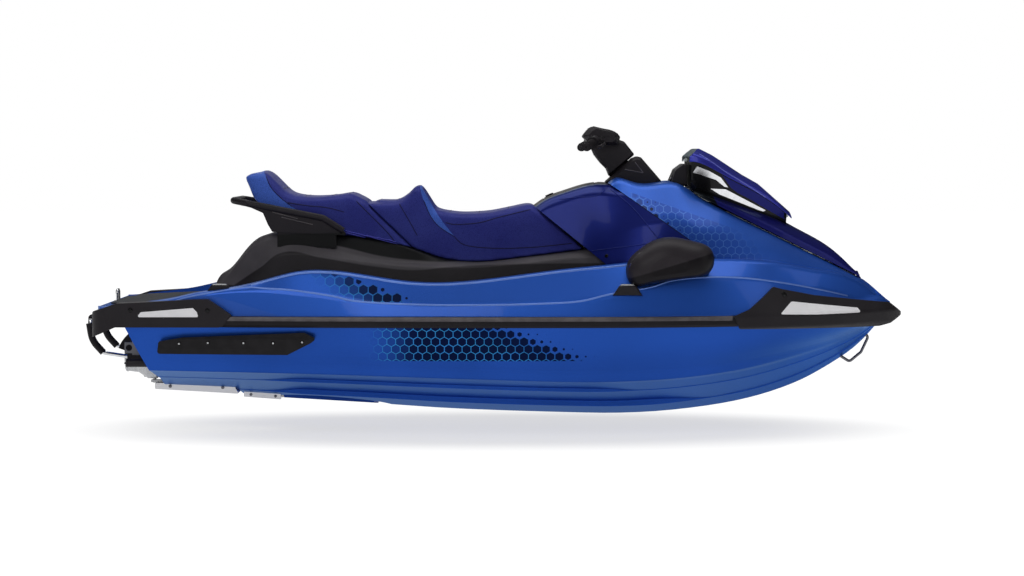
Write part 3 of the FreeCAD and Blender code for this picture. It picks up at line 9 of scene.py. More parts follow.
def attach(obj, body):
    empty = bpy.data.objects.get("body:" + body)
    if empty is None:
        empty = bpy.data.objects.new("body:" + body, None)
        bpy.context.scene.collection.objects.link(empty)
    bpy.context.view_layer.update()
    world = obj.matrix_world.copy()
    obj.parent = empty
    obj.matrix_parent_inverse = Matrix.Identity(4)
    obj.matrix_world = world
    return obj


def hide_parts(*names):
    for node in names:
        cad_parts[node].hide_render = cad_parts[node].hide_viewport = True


bl_info = {
    "name": "Personal Watercraft",
    "version": (1, 0, 0),
    "blender": (4, 5, 0),
    "location": "View3D > Sidebar > Watercraft",
    "description": "Builds a three-seat personal watercraft and its studio",
    "category": "Object",
}

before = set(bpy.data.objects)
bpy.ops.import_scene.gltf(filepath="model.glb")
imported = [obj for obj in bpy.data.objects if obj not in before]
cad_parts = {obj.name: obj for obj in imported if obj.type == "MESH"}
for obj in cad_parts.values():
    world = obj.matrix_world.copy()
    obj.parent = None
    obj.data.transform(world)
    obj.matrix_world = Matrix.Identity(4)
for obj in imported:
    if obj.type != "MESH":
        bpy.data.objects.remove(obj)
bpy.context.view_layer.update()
MM = 0.001


class Line:
    """A fair curve through a few stations, read at any x, in millimetres; it never overshoots."""

    def __init__(self, *stations):
        self.x = [float(s[0]) for s in stations]
        self.v = [float(s[1]) for s in stations]
        steps = [b - a for a, b in zip(self.x, self.x[1:])]
        rates = [(b - a) / h for a, b, h in zip(self.v, self.v[1:], steps)]
        self.slope = [rates[0]]
        for h0, h1, r0, r1 in zip(steps, steps[1:], rates, rates[1:]):
            if r0 * r1 <= 0:
                self.slope.append(0.0)
            else:
                w0, w1 = 2 * h1 + h0, h1 + 2 * h0
                self.slope.append((w0 + w1) / (w0 / r0 + w1 / r1))
        self.slope.append(rates[-1])

    def __call__(self, x):
        if x <= self.x[0]:
            return self.v[0] + self.slope[0] * (x - self.x[0])
        if x >= self.x[-1]:
            return self.v[-1] + self.slope[-1] * (x - self.x[-1])
        i = max(k for k, station in enumerate(self.x) if station <= x)
        h = self.x[i + 1] - self.x[i]
        t = (x - self.x[i]) / h
        keep, take = (1 + 2 * t) * (1 - t) ** 2, t * t * (3 - 2 * t)
        return (
            keep * self.v[i]
            + take * self.v[i + 1]
            + h * t * (1 - t) ** 2 * self.slope[i]
            - h * t * t * (1 - t) * self.slope[i + 1]
        )


# The boat's lines that pieces here follow, the same as the solids' (millimetres).
RAIL_Y = Line(
    (-1610, 470), (-1400, 512), (-1000, 556), (-500, 586), (0, 596), (400, 590), (700, 562),
    (900, 524), (1100, 460), (1300, 362), (1450, 258), (1560, 154), (1640, 62), (1665, 26),
)
SEAT_BASE_Z = Line(
    (-1170, 262), (-1098, 350), (-1010, 446), (-948, 498), (-900, 508), (-605, 500),
    (-350, 454), (-177, 399), (-76, 391), (108, 409), (348, 440), (480, 458),
)
SEAT_FRONT_CUT = ((177.0, 603.0), (441.0, 391.0))
COVER_CUT = ((473.0, 711.0), (792.0, 487.0))
SEAT_SPLIT_CUT = ((-529.0, 640.0), (-353.0, 479.0))
COWL_TOP_Y = Line(
    (440, 188), (600, 204), (767, 214), (894, 236), (1091, 200), (1270, 140), (1420, 84),
    (1540, 36),
)
HOOD_SPLIT = ((894.0, 632.0), (1521.0, 322.0))
STEER_AT = (515.0, 766.0)
STEER_AXIS = (-0.648, 0.0, 0.762)
SHAFT_Z = -16.0
COLLECTION = "Watercraft"


# Mesh helpers. Every one starts from a bmesh operator and shapes what it gives.
def collection():
    found = bpy.data.collections.get(COLLECTION)
    if found is None:
        found = bpy.data.collections.new(COLLECTION)
        bpy.context.scene.collection.children.link(found)
    return found


def new_mesh(name, bm):
    """A mesh made from a bmesh, which is freed."""
    mesh = bpy.data.meshes.new(name)
    bm.to_mesh(mesh)
    bm.free()
    return mesh


def place(name, bm, skin, body="craft", angle=30.0, replaces=()):
    """Turns a bmesh in metres into an object with a finish that rides on a body."""
    bm.normal_update()
    limit = math.radians(angle)
    for face in bm.faces:
        face.smooth = True
    for edge in bm.edges:
        edge.smooth = not (len(edge.link_faces) == 2 and edge.calc_face_angle(0.0) > limit)
    mesh = new_mesh(name, bm)
    mesh.materials.append(FINISHES[skin])
    obj = bpy.data.objects.new(name, mesh)
    collection().objects.link(obj)
    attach(obj, body)
    if replaces:
        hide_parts(*replaces)
    return obj


def verts_of(geometry):
    return [g for g in geometry if isinstance(g, bmesh.types.BMVert)]


def everything(bm):
    return bm.verts[:] + bm.edges[:] + bm.faces[:]


def spread(lo, hi, count):
    return [lo + (hi - lo) * i / (count - 1) for i in range(count)]


def divide(run, count):
    """Points spread evenly along an open run."""
    lengths = [(b - a).length for a, b in zip(run, run[1:])]
    total = sum(lengths)
    out, i, gone = [run[0].copy()], 0, 0.0
    for k in range(1, count - 1):
        goal = total * k / (count - 1)
        while i < len(lengths) - 1 and gone + lengths[i] < goal:
            gone += lengths[i]
            i += 1
        t = (goal - gone) / lengths[i] if lengths[i] > 1e-9 else 0
        out.append(run[i].lerp(run[i + 1], min(1, t)))
    out.append(run[-1].copy())
    return out


def bevelled(bm, edges, offset, segments, clamp=True):
    bmesh.ops.bevel(
        bm, geom=edges, offset=offset * MM, offset_type="OFFSET", segments=segments,
        profile=0.5, affect="EDGES", material=-1, clamp_overlap=clamp
    )


def bridged(bm, rings):
    """Faces between rings of vertices, closed at both ends."""
    for a, b in zip(rings, rings[1:]):
        for k in range(len(a)):
            bm.faces.new((a[k - 1], a[k], b[k], b[k - 1]))
    bm.faces.new(rings[0])
    bm.faces.new(list(reversed(rings[-1])))
    bmesh.ops.recalc_face_normals(bm, faces=bm.faces)
    return bm


def stood(bm, at, axis, turned=0.0):
    """The mesh moved to a point in millimetres, its Z turned to an axis."""
    turn = Vector(axis).normalized().to_track_quat("Z", "Y").to_matrix().to_4x4()
    spin = Matrix.Rotation(turned, 4, "Z")
    move = Matrix.Translation(Vector(at) * MM)
    bmesh.ops.transform(bm, matrix=move @ turn @ spin, verts=bm.verts)
    return bm


def block(points, low, high, bevel, segments=3, side=False):
    """A plan outline in millimetres, or one in side view, extruded and bevelled all round."""
    bm = bmesh.new()
    corners = [(a, low, b) if side else (a, b, low) for a, b in points]
    rise = (high - low) * MM
    face = bm.faces.new([bm.verts.new([v * MM for v in corner]) for corner in corners])
    made = bmesh.ops.extrude_face_region(bm, geom=[face])["geom"]
    vec = (0, rise, 0) if side else (0, 0, rise)
    bmesh.ops.translate(bm, verts=verts_of(made), vec=vec)
    bmesh.ops.recalc_face_normals(bm, faces=bm.faces)
    bevelled(bm, bm.edges[:], bevel, segments)
    return bm


def rod(points, radius, sides=16, steps=6, bend=20.0):
    """A round bar in millimetres along straight runs with rounded bends, closed at its ends."""
    bm = bmesh.new()
    pts = [Vector(p) for p in points]
    path = [pts[0]]
    for before, p, after in zip(pts, pts[1:], pts[2:]):
        a, b = before - p, after - p
        reach = min(bend, 0.45 * a.length, 0.45 * b.length)
        if reach < 0.5:
            path.append(p)
            continue
        start, end = p + a.normalized() * reach, p + b.normalized() * reach
        for k in range(steps + 1):
            t = k / steps
            path.append(start.lerp(p, t).lerp(p.lerp(end, t), t))
    path.append(pts[-1])
    loops = []
    turn = (path[1] - path[0]).to_track_quat("Z", "Y")
    for i, p in enumerate(path):
        ahead = (path[min(i + 1, len(path) - 1)] - path[max(i - 1, 0)]).normalized()
        turn = (turn @ Vector((0, 0, 1))).rotation_difference(ahead) @ turn
        circle = bmesh.ops.create_circle(bm, segments=sides, radius=radius * MM, cap_ends=False)
        placed = Matrix.Translation(p * MM) @ turn.to_matrix().to_4x4()
        bmesh.ops.transform(bm, matrix=placed, verts=circle["verts"])
        loops.append(circle["verts"])
    return bridged(bm, loops)


def disc(centre, axis, radius, depth, bevel, sides=24, segments=2):
    """A short cylinder in millimetres about an axis, its rims bevelled."""
    bm = bmesh.new()
    bmesh.ops.create_cone(bm, cap_ends=True, cap_tris=False, segments=sides,
                          radius1=radius * MM, radius2=radius * MM, depth=depth * MM)
    end = depth * MM / 2
    rims = [e for e in bm.edges if all(abs(abs(v.co.z) - end) < 1e-6 for v in e.verts)]
    bevelled(bm, rims, bevel, segments)
    return stood(bm, centre, axis)


def spun(profile, centre, axis, sides=48):
    """A body of revolution from (along, radius) points in millimetres."""
    bm = bmesh.new()
    verts = [bm.verts.new((r * MM, 0, a * MM)) for a, r in profile]
    edges = [bm.edges.new(pair) for pair in zip(verts, verts[1:])]
    bmesh.ops.spin(bm, geom=verts + edges, cent=(0, 0, 0), axis=(0, 0, 1), angle=math.tau,
                   steps=sides, use_merge=True)
    bmesh.ops.remove_doubles(bm, verts=bm.verts, dist=1e-6)
    bmesh.ops.recalc_face_normals(bm, faces=bm.faces)
    return stood(bm, centre, axis)


def join(*meshes):
    """One bmesh from several."""
    whole = bmesh.new()
    for bm in meshes:
        mesh = new_mesh("part", bm)
        whole.from_mesh(mesh)
        bpy.data.meshes.remove(mesh)
    return whole


def both_sides(*meshes):
    """The meshes as one, and their mirror image across the boat."""
    bm = join(*meshes)
    copy = bmesh.ops.duplicate(bm, geom=everything(bm))["geom"]
    for v in verts_of(copy):
        v.co.y = -v.co.y
    faces = [g for g in copy if isinstance(g, bmesh.types.BMFace)]
    bmesh.ops.reverse_faces(bm, faces=faces)
    return bm


# Shader helpers and the effects that several finishes share.
def feed(tree, node, inputs):
    """Gives a node its inputs, each a plain value or another node's output socket."""
    for key, value in inputs.items():
        if isinstance(value, bpy.types.NodeSocket):
            tree.links.new(value, node.inputs[key])
        else:
            node.inputs[key].default_value = value


def add(tree, kind, inputs=None, **settings):
    """Adds a node with its settings and its inputs."""
    node = tree.nodes.new("ShaderNode" + kind)
    for key, value in settings.items():
        setattr(node, key, value)
    feed(tree, node, inputs or {})
    return node


def math_node(tree, operation, a, b=0.0, c=0.0, clamp=False):
    node = add(tree, "Math", {0: a, 1: b, 2: c}, operation=operation, use_clamp=clamp)
    return node.outputs[0]


def vector_node(tree, operation, inputs, output=0):
    return add(tree, "VectorMath", inputs, operation=operation).outputs[output]


def split(tree, vector):
    return add(tree, "SeparateXYZ", {0: vector}).outputs


def object_place(tree):
    return add(tree, "TexCoord").outputs["Object"]


def noise(tree, at, scale, detail=2.0):
    return add(tree, "TexNoise", {"Vector": at, "Scale": scale, "Detail": detail}).outputs[0]


def blend_colour(tree, factor, a, b, kind="MIX"):
    inputs = {0: factor, 6: a, 7: b}
    return add(tree, "Mix", inputs, data_type="RGBA", blend_type=kind).outputs[2]


def ramp(tree, value, low, high, from_low=0.0, from_high=1.0):
    """Maps a value smoothly from one range to another, and stops at its ends."""
    inputs = {"Value": value, "From Min": from_low, "From Max": from_high,
              "To Min": low, "To Max": high}
    return add(tree, "MapRange", inputs, interpolation_type="SMOOTHSTEP").outputs[0]


def shader_group(name, inputs, outputs):
    """Makes a function that wires a node tree give it as a group, which is built once."""
    def wrap(build):
        def group():
            if name in bpy.data.node_groups:
                return bpy.data.node_groups[name]
            tree = bpy.data.node_groups.new(name, "ShaderNodeTree")
            for label, value in inputs.items():
                kind = "NodeSocketVector" if value is None else "NodeSocketFloat"
                socket = tree.interface.new_socket(name=label, in_out="INPUT", socket_type=kind)
                if value is not None:
                    socket.default_value = value
            for label in outputs:
                tree.interface.new_socket(
                    name=label, in_out="OUTPUT", socket_type="NodeSocketFloat")
            given = tree.nodes.new("NodeGroupInput").outputs
            made = tree.nodes.new("NodeGroupOutput").inputs
            for label, socket in zip(outputs, build(tree, given)):
                tree.links.new(socket, made[label])
            return tree
        return group
    return wrap


@shader_group("Moulded grain", {"Vector": None, "Scale": 900.0, "Softness": 0.4},
              ("Height", "Speck", "Tone"))
def grain_group(tree, given):
    """Moulded grain: small closed cells with a little unevenness."""
    at = given["Vector"]
    cells = add(tree, "TexVoronoi", {"Vector": at, "Scale": given["Scale"]}, feature="F1")
    fine = noise(tree, at, 160.0, 3.0)
    soft = math_node(tree, "MULTIPLY", fine, given["Softness"])
    height = math_node(tree, "ADD", cells.outputs["Distance"], soft)
    return height, fine, noise(tree, at, 7.0, 4.0)


@shader_group("Gel coat surface", {"Vector": None, "Flake scale": 2600.0},
              ("Peel", "Flake", "Tone"))
def gel_group(tree, given):
    """Gel coat: the faint orange peel, flakes under the clear layer and slow drifts of tone."""
    at = given["Vector"]
    inputs = {"Vector": at, "Scale": 70.0, "Detail": 2.0, "Roughness": 0.4}
    peel = add(tree, "TexNoise", inputs).outputs[0]
    flakes = add(tree, "TexVoronoi", {"Vector": at, "Scale": given["Flake scale"]})
    parts = add(tree, "SeparateColor", {"Color": flakes.outputs["Color"]})
    return peel, parts.outputs[0], noise(tree, at, 1.6)


HEX_HALF = (0.5, 0.866, 0.0)  # half of a row of hexagons' repeat, for a pitch of 1


@shader_group("Honeycomb", {"Vector": None, "Pitch": 0.036},
              ("Inside", "Random", "Centre X", "Centre Z"))
def comb_group(tree, given):
    """A honeycomb seen from the side: how far each point is inside its cell, a random value
    for the cell and the cell's centre."""
    spot = split(tree, given["Vector"])
    flat = add(tree, "CombineXYZ", {"X": spot["X"], "Y": spot["Z"], "Z": 0.0}).outputs[0]
    inverse = math_node(tree, "DIVIDE", 1.0, given["Pitch"])
    uv = vector_node(tree, "SCALE", {0: flat, "Scale": inverse})
    half = (*HEX_HALF[:2], 0.5)
    back = tuple(-h for h in half)

    def cell(point):
        wrapped = vector_node(tree, "WRAP", {0: point, 1: half, 2: back})
        return vector_node(tree, "MULTIPLY", {0: wrapped, 1: (1, 1, 0)})

    def size(vector):
        return vector_node(tree, "LENGTH", {0: vector}, "Value")

    first = cell(uv)
    second = cell(vector_node(tree, "SUBTRACT", {0: uv, 1: HEX_HALF}))
    nearer = math_node(tree, "LESS_THAN", size(second), size(first))
    inputs = {0: nearer, 4: first, 5: second}
    chosen = add(tree, "Mix", inputs, data_type="VECTOR").outputs[1]
    positive = vector_node(tree, "ABSOLUTE", {0: chosen})
    sloping = vector_node(tree, "DOT_PRODUCT", {0: positive, 1: HEX_HALF}, "Value")
    reach = math_node(tree, "MAXIMUM", sloping, split(tree, positive)["X"])
    centre = vector_node(tree, "SUBTRACT", {0: uv, 1: chosen})
    real = split(tree, vector_node(tree, "SCALE", {0: centre, "Scale": given["Pitch"]}))
    chance = add(tree, "TexWhiteNoise", {"Vector": centre}, noise_dimensions="3D")
    inside = math_node(tree, "SUBTRACT", 0.5, reach)
    return inside, chance.outputs["Value"], real["X"], real["Y"]


def use_group(tree, group, inputs):
    return add(tree, "Group", inputs, node_tree=group()).outputs


def start_material(name):
    """A new node material: its tree, its Principled shader and the object coordinates."""
    material = bpy.data.materials.new(name)
    material.use_nodes = True
    tree = material.node_tree
    tree.nodes.clear()
    shader = add(tree, "BsdfPrincipled")
    tree.links.new(shader.outputs[0], add(tree, "OutputMaterial").inputs[0])
    return material, tree, shader, object_place(tree)


def bump(tree, height, strength, distance):
    inputs = {"Height": height, "Strength": strength, "Distance": distance}
    return add(tree, "Bump", inputs).outputs[0]


def curve_value(tree, value, places):
    """The height of a curve through these places, which run from 0 to 1, at a value."""
    node = add(tree, "FloatCurve", {"Value": value, "Factor": 1.0})
    curve = node.mapping.curves[0]
    curve.points[0].location = places[0]
    curve.points[1].location = places[-1]
    for spot in places[1:-1]:
        curve.points.new(*spot)
    node.mapping.update()
    return node.outputs[0]


def toned(colour, factor, lift=0.0):
    """A colour made darker or paler."""
    return tuple(min(1.0, c * factor + lift) for c in colour[:3]) + (1.0,)


def rgb(*values):
    """A colour given as on screen, 0 to 255, as the linear value that shaders take."""
    made = []
    for v in values:
        v = v / 255
        made.append(v / 12.92 if v <= 0.04045 else ((v + 0.055) / 1.055) ** 2.4)
    return (*made, 1.0)


GEL_TINT = rgb(198, 238, 255)
GEL_DEPTH = 0.82


def gel_coat(name, colour, coat=0.35, comb=None, metallic=0.45, specular=0.2):
    """Metallic gel coat under a clear layer. comb adds a honeycomb over a stretch of the side."""
    material, tree, shader, at = start_material(name)
    surface = use_group(tree, gel_group, {"Vector": at})
    tone = ramp(tree, surface["Tone"], 0.0, 1.0, 0.3, 0.7)
    base = blend_colour(tree, tone, toned(colour, GEL_DEPTH), colour)
    flake = ramp(tree, surface["Flake"], 0.0, 0.35, 0.75, 1.0)
    base = blend_colour(tree, flake, base, toned(colour, 1.9, 0.006))
    if comb:
        base = comb_colours(tree, at, base, comb)
    feed(tree, shader, {
        "Base Color": base, "Metallic": metallic, "Roughness": 0.36,
        "Specular IOR Level": specular, "Specular Tint": GEL_TINT, "Coat Weight": coat,
        "Coat Roughness": 0.05, "Coat IOR": 1.3,
        "Normal": bump(tree, surface["Peel"], 0.06, 0.0006)})
    return material


COMB_LINE = rgb(52, 140, 196)
COMB_LINE_DARK = rgb(22, 74, 136)
COMB_CELL = rgb(4, 7, 34)
COMB_GROUND = rgb(18, 40, 128)
# Each stretch of honeycomb, in metres: where its outlines begin and where its cells are dark,
# both further back by rear as it rises; where its cells start to shrink and where they end,
# both further back by lean as it rises; its lower and upper edge, the upper one falling
# forwards by slope; how much the outlines go on where the cells shrink, how dark the ground
# is, the cells' pitch and the outlines' colour.
HULL_COMB = dict(
    faint=-0.52, dark=-0.30, rear=0.0, full=0.24, end=0.53, lean=2.3, low=0.012, high=0.150,
    slope=0.0, lines=(0.0, 1.0, 2.0), ground=0.0, pitch=0.035, tint=COMB_LINE_DARK)
DECK_COMB = dict(
    faint=-0.62, dark=-0.42, rear=1.36, full=-0.37, end=-0.24, lean=2.6, low=0.248, high=0.160,
    slope=0.328, lines=(0.0, 1.0, 2.0), ground=0.0, pitch=0.038, tint=COMB_LINE_DARK)
COWL_COMB = dict(
    faint=0.52, dark=0.64, rear=0.0, full=0.78, end=0.93, lean=1.0, low=0.40, high=0.872,
    slope=0.35, lines=(0.75, 1.02, 1.16), ground=0.66, pitch=0.032, tint=rgb(84, 132, 208))
COMB_FADE = 1.7  # how fast the cells shrink
COMB_WALL = 0.035  # half an outline's width, as a share of the pitch


def comb_colours(tree, at, base, comb):
    """Dark cells with paler outlines that fade in from the rear and shrink towards the front."""
    def calc(operation, *values):
        return math_node(tree, operation, *values)

    def product(*shares):
        result = shares[0]
        for share in shares[1:]:
            result = calc("MULTIPLY", result, share)
        return result

    cells = use_group(tree, comb_group, {"Vector": at, "Pitch": comb["pitch"]})
    x, rise = cells["Centre X"], calc("SUBTRACT", cells["Centre Z"], comb["low"])
    back = calc("MULTIPLY_ADD", rise, comb["rear"], x)
    rear = ramp(tree, back, 0.0, 1.0, comb["faint"], comb["dark"])
    lean = calc("MULTIPLY_ADD", rise, comb["lean"], x)
    fill = calc("POWER", ramp(tree, lean, 1.0, 0.0, comb["full"], comb["end"]), COMB_FADE)
    spot = split(tree, at)
    tilted = calc("MULTIPLY_ADD", spot["X"], comb["slope"], spot["Z"])
    band = product(calc("GREATER_THAN", spot["Z"], comb["low"]),
                   calc("LESS_THAN", tilted, comb["high"]))
    rim = calc("ADD", ramp(tree, fill, 0.47, 0.05, 0.0, 0.9), 0.02)
    rim = calc("MULTIPLY_ADD", cells["Random"], -0.05, rim)
    filled = product(calc("GREATER_THAN", cells["Inside"], rim), band,
                     calc("GREATER_THAN", fill, 0.015), calc("POWER", rear, 1.6), 0.94)
    strength, start, stop = comb["lines"]
    ahead = calc("MAXIMUM", ramp(tree, fill, 0.0, 1.0, 0.35, 0.8),
                 ramp(tree, lean, strength, 0.0, start, stop))
    seen = product(ramp(tree, rear, 0.0, 0.85, 0.0, 0.5), ahead)
    line = product(calc("LESS_THAN", cells["Inside"], COMB_WALL), band, seen)
    base = blend_colour(tree, product(band, seen, comb["ground"]), base, COMB_GROUND)
    full = comb["full"]
    tint = ramp(tree, lean, 0.0, 1.0, full - 0.12, full + 0.1)
    tint = blend_colour(tree, tint, COMB_LINE, comb["tint"])
    base = blend_colour(tree, filled, base, COMB_CELL)
    return blend_colour(tree, line, base, tint)


def grained_plastic(name, colour, roughness=0.46, scale=900.0, strength=0.28, wear=0.5):
    """Moulded plastic with a fine grain, its tone drifting a little and rubbed paler in places."""
    material, tree, shader, at = start_material(name)
    grain = use_group(tree, grain_group, {"Vector": at, "Scale": scale})
    pale = toned(colour, 1.0, 0.012)
    base = blend_colour(tree, ramp(tree, grain["Tone"], 0.0, wear, 0.35, 0.75), colour, pale)
    base = blend_colour(tree, ramp(tree, grain["Speck"], 0.0, 0.25, 0.55, 0.75), base, pale)
    feed(tree, shader, {
        "Base Color": base, "Specular IOR Level": 0.17,
        "Roughness": ramp(tree, grain["Tone"], roughness - 0.05, roughness + 0.06, 0.3, 0.7),
        "Normal": bump(tree, grain["Height"], strength, 0.0004)})
    return material


def gloss_plastic(name, colour, roughness, coat):
    """Polished moulding: almost smooth, with slow waves from the mould and fine hairlines."""
    material, tree, shader, at = start_material(name)
    wave, hairs = noise(tree, at, 24.0), noise(tree, at, 420.0)
    pale = tuple(min(c * 1.35 + 0.002, c + 0.04) for c in colour[:3]) + (1.0,)
    feed(tree, shader, {
        "Base Color": blend_colour(tree, ramp(tree, wave, 0.0, 1.0, 0.35, 0.7), colour, pale),
        "Roughness": ramp(tree, hairs, roughness, roughness + 0.08, 0.4, 0.8),
        "Specular IOR Level": 0.12, "Coat Weight": coat, "Coat Roughness": 0.04,
        "Normal": bump(tree, wave, 0.05, 0.0008)})
    return material


# Side-view lines of the seats: piping, sewn creases and the edges of the paler panels.
REAR_PANEL_EDGE = [(-824, 619), (-870, 655), (-907, 695), (-930, 741), (-941, 759)]
REAR_SEAMS = [
    [(-560, 640), (-520, 600), (-440, 520), (-404, 476)],
    [(-840, 634), (-760, 622), (-680, 614), (-610, 596)],
]
BAND_REAR = [(-158, 494), (-220, 534), (-257, 578), (-286, 643), (-300, 690)]
BAND_FRONT = [(-158, 494), (-213, 563), (-242, 607), (-272, 658), (-300, 702)]
FRONT_SEAMS = [
    [(-158, 492), (-117, 461), (0, 448), (160, 452), (320, 468)],
    [(-196, 553), (-155, 545), (-60, 552), (20, 574), (150, 606)],
    [(-385, 628), (-345, 560), (-312, 500)],
]
PANEL_LOW, PANEL_SPAN = 0.45, 0.40  # the heights, in metres, that the panels' edges cover
PANEL_SOFT = 0.0008
VINYL_CREASE_SHADE = rgb(24, 22, 72)
VINYL_TINT = rgb(150, 160, 255)
HOOD_DARK_X = 1.225  # where the hood turns dark, in metres, further back by half its height
SHOE_FRONT_X = -0.876


def panel_edge(tree, height, points):
    """Where a panel's edge lies along the boat at a height, from (x, z) points in metres."""
    places = sorted(((z - PANEL_LOW) / PANEL_SPAN, x + 1.0) for x, z in points)
    over = math_node(tree, "SUBTRACT", height, PANEL_LOW)
    along = curve_value(tree, math_node(tree, "DIVIDE", over, PANEL_SPAN), places)
    return math_node(tree, "SUBTRACT", along, 1.0)


def vinyl(name, colour, pale, panel, edges):
    """Stitched marine vinyl: a leather-like grain, a satin sheen and one panel of another
    colour. The panel lies behind its one edge, or between its two."""
    material, tree, shader, at = start_material(name)
    warp = add(tree, "TexNoise", {"Vector": at, "Scale": 60.0, "Detail": 2.0}).outputs["Color"]
    bent = vector_node(tree, "SCALE", {0: warp, "Scale": 0.004})
    moved = vector_node(tree, "ADD", {0: at, 1: bent})
    pebbles = add(tree, "TexVoronoi", {"Vector": moved, "Scale": 420.0}, feature="SMOOTH_F1")
    pebbles = pebbles.outputs["Distance"]
    slow = noise(tree, at, 5.0, 3.0)
    base = blend_colour(tree, ramp(tree, slow, 0.0, 0.6, 0.35, 0.7), colour, pale)
    spot = split(tree, at)
    inside = 1.0
    for edge, behind, ahead in zip(edges, (1.0, 0.0), (0.0, 1.0)):
        past = math_node(tree, "SUBTRACT", spot["X"], panel_edge(tree, spot["Z"], edge))
        share = ramp(tree, past, behind, ahead, -PANEL_SOFT, PANEL_SOFT)
        inside = math_node(tree, "MULTIPLY", inside, share)
    base = blend_colour(tree, inside, base, panel)
    # painted shade: the grain's creases are darkened
    base = blend_colour(tree, ramp(tree, pebbles, 0.0, 0.4, 0.3, 0.7), base, VINYL_CREASE_SHADE)
    feed(tree, shader, {
        "Base Color": base, "Roughness": ramp(tree, slow, 0.40, 0.50, 0.3, 0.7),
        "Specular IOR Level": 0.12, "Specular Tint": VINYL_TINT,
        "Normal": bump(tree, pebbles, 0.22, 0.0006)})
    return material


def shell_plastic(name, tones, edges):
    """Moulded plastic whose tone changes at edges drawn in side view. tones go from the lowest
    part up; each edge is a height at x = 0 and its rise forwards, or a run of (x, z) points."""
    material, tree, shader, at = start_material(name)
    grain = use_group(tree, grain_group, {"Vector": at, "Scale": 900.0})
    spot = split(tree, at)
    base = tones[0]
    for tone, edge in zip(tones[1:], edges):
        if len(edge) == 2:
            level = math_node(tree, "MULTIPLY_ADD", spot["X"], edge[1], edge[0])
        else:
            level = height_line(tree, spot["X"], edge)
        over = math_node(tree, "SUBTRACT", spot["Z"], level)
        base = blend_colour(tree, ramp(tree, over, 0.0, 1.0, -0.004, 0.004), base, tone)
    drift = ramp(tree, grain["Tone"], 0.9, 1.15, 0.35, 0.75)
    tint = add(tree, "CombineXYZ", {0: drift, 1: drift, 2: drift}).outputs[0]
    feed(tree, shader, {
        "Base Color": blend_colour(tree, 1.0, base, tint, "MULTIPLY"), "Roughness": 0.42,
        "Specular IOR Level": 0.15, "Normal": bump(tree, grain["Height"], 0.25, 0.0004)})
    return material


def height_line(tree, x, points):
    """The height of a line drawn in side view, at x; points are (x, z) in metres."""
    low, span = points[0][0], points[-1][0] - points[0][0]
    along = math_node(tree, "SUBTRACT", x, low)
    part = math_node(tree, "DIVIDE", along, span, clamp=True)
    return curve_value(tree, part, [((px - low) / span, pz) for px, pz in points])


def recoloured(material, colour, share):
    """Blends a material's colour towards another by a share made in its tree."""
    tree = material.node_tree
    shader = next(n for n in tree.nodes if n.type == "BSDF_PRINCIPLED")
    painted = shader.inputs["Base Color"].links[0].from_socket
    feed(tree, shader, {"Base Color": blend_colour(tree, share(tree), painted, colour)})
    return material


def flat_faces(tree):
    """1 where a face looks up, down, ahead or back, 0 on the flanks."""
    facing = split(tree, add(tree, "NewGeometry").outputs["True Normal"])
    return ramp(tree, math_node(tree, "ABSOLUTE", facing["Y"]), 1.0, 0.0, 0.20, 0.26)


def hood_rear(tree):
    """1 on the hood behind a slanted line, under the visor."""
    spot = split(tree, object_place(tree))
    reach = math_node(tree, "MULTIPLY_ADD", spot["Z"], 0.5, spot["X"])
    return ramp(tree, math_node(tree, "SUBTRACT", reach, HOOD_DARK_X), 1.0, 0.0, -0.002, 0.002)


def shoe_front(tree):
    """1 on the intake grate ahead of its shoe."""
    past = math_node(tree, "SUBTRACT", split(tree, object_place(tree))["X"], SHOE_FRONT_X)
    return ramp(tree, past, 0.0, 1.0, -0.002, 0.002)


def metal(name, colour, roughness, kind="polished"):
    """Bright metal: polished bar, brushed sheet or sand-cast alloy."""
    material, tree, shader, at = start_material(name)
    stretch, depth = {
        "polished": ((30, 30, 30), 0.02), "brushed": ((12, 700, 700), 0.08),
        "cast": ((240, 240, 240), 0.35)}[kind]
    scaled = add(tree, "Mapping", {"Vector": at, "Scale": stretch}).outputs[0]
    marks = noise(tree, scaled, 1.0, 4.0)
    dark = toned(colour, 0.6 if kind == "cast" else 0.85)
    feed(tree, shader, {
        "Base Color": blend_colour(tree, ramp(tree, marks, 0.0, 1.0, 0.3, 0.7), dark, colour),
        "Roughness": ramp(tree, marks, roughness, roughness * 1.5, 0.3, 0.7),
        "Metallic": 0.85 if kind == "cast" else 1.0, "Normal": bump(tree, marks, depth, 0.0005)})
    return material


def foam(name, colour):
    """Closed-cell deck foam with moulded grooves that run along the boat."""
    material, tree, shader, at = start_material(name)
    grain = use_group(tree, grain_group, {"Vector": at, "Scale": 600.0, "Softness": 0.8})
    wave = math_node(tree, "PINGPONG", split(tree, at)["Y"], 0.011)
    groove = ramp(tree, wave, 0.0, 1.0, 0.0008, 0.0022)
    # painted shade: the grooves are darkened
    base = blend_colour(tree, groove, toned(colour, 0.4), colour)
    speck = ramp(tree, grain["Speck"], 0.0, 0.4, 0.5, 0.7)
    height = math_node(tree, "MULTIPLY_ADD", grain["Height"], 0.15, groove)
    feed(tree, shader, {
        "Base Color": blend_colour(tree, speck, base, toned(colour, 1.6)), "Roughness": 0.85,
        "Normal": bump(tree, height, 0.6, 0.0015)})
    return material


def glass(name, scale, colours, roughness, **more):
    """A smooth pane, its tone and its polish drifting a little."""
    material, tree, shader, at = start_material(name)
    drift = noise(tree, at, scale)
    feed(tree, shader, {
        "Base Color": blend_colour(tree, ramp(tree, drift, 0.0, 1.0), *colours),
        "Roughness": ramp(tree, drift, *roughness)})
    feed(tree, shader, {key.replace("_", " "): value for key, value in more.items()})
    return material


HULL_BLUE = rgb(36, 79, 170)
DECK_BLUE = rgb(44, 92, 192)
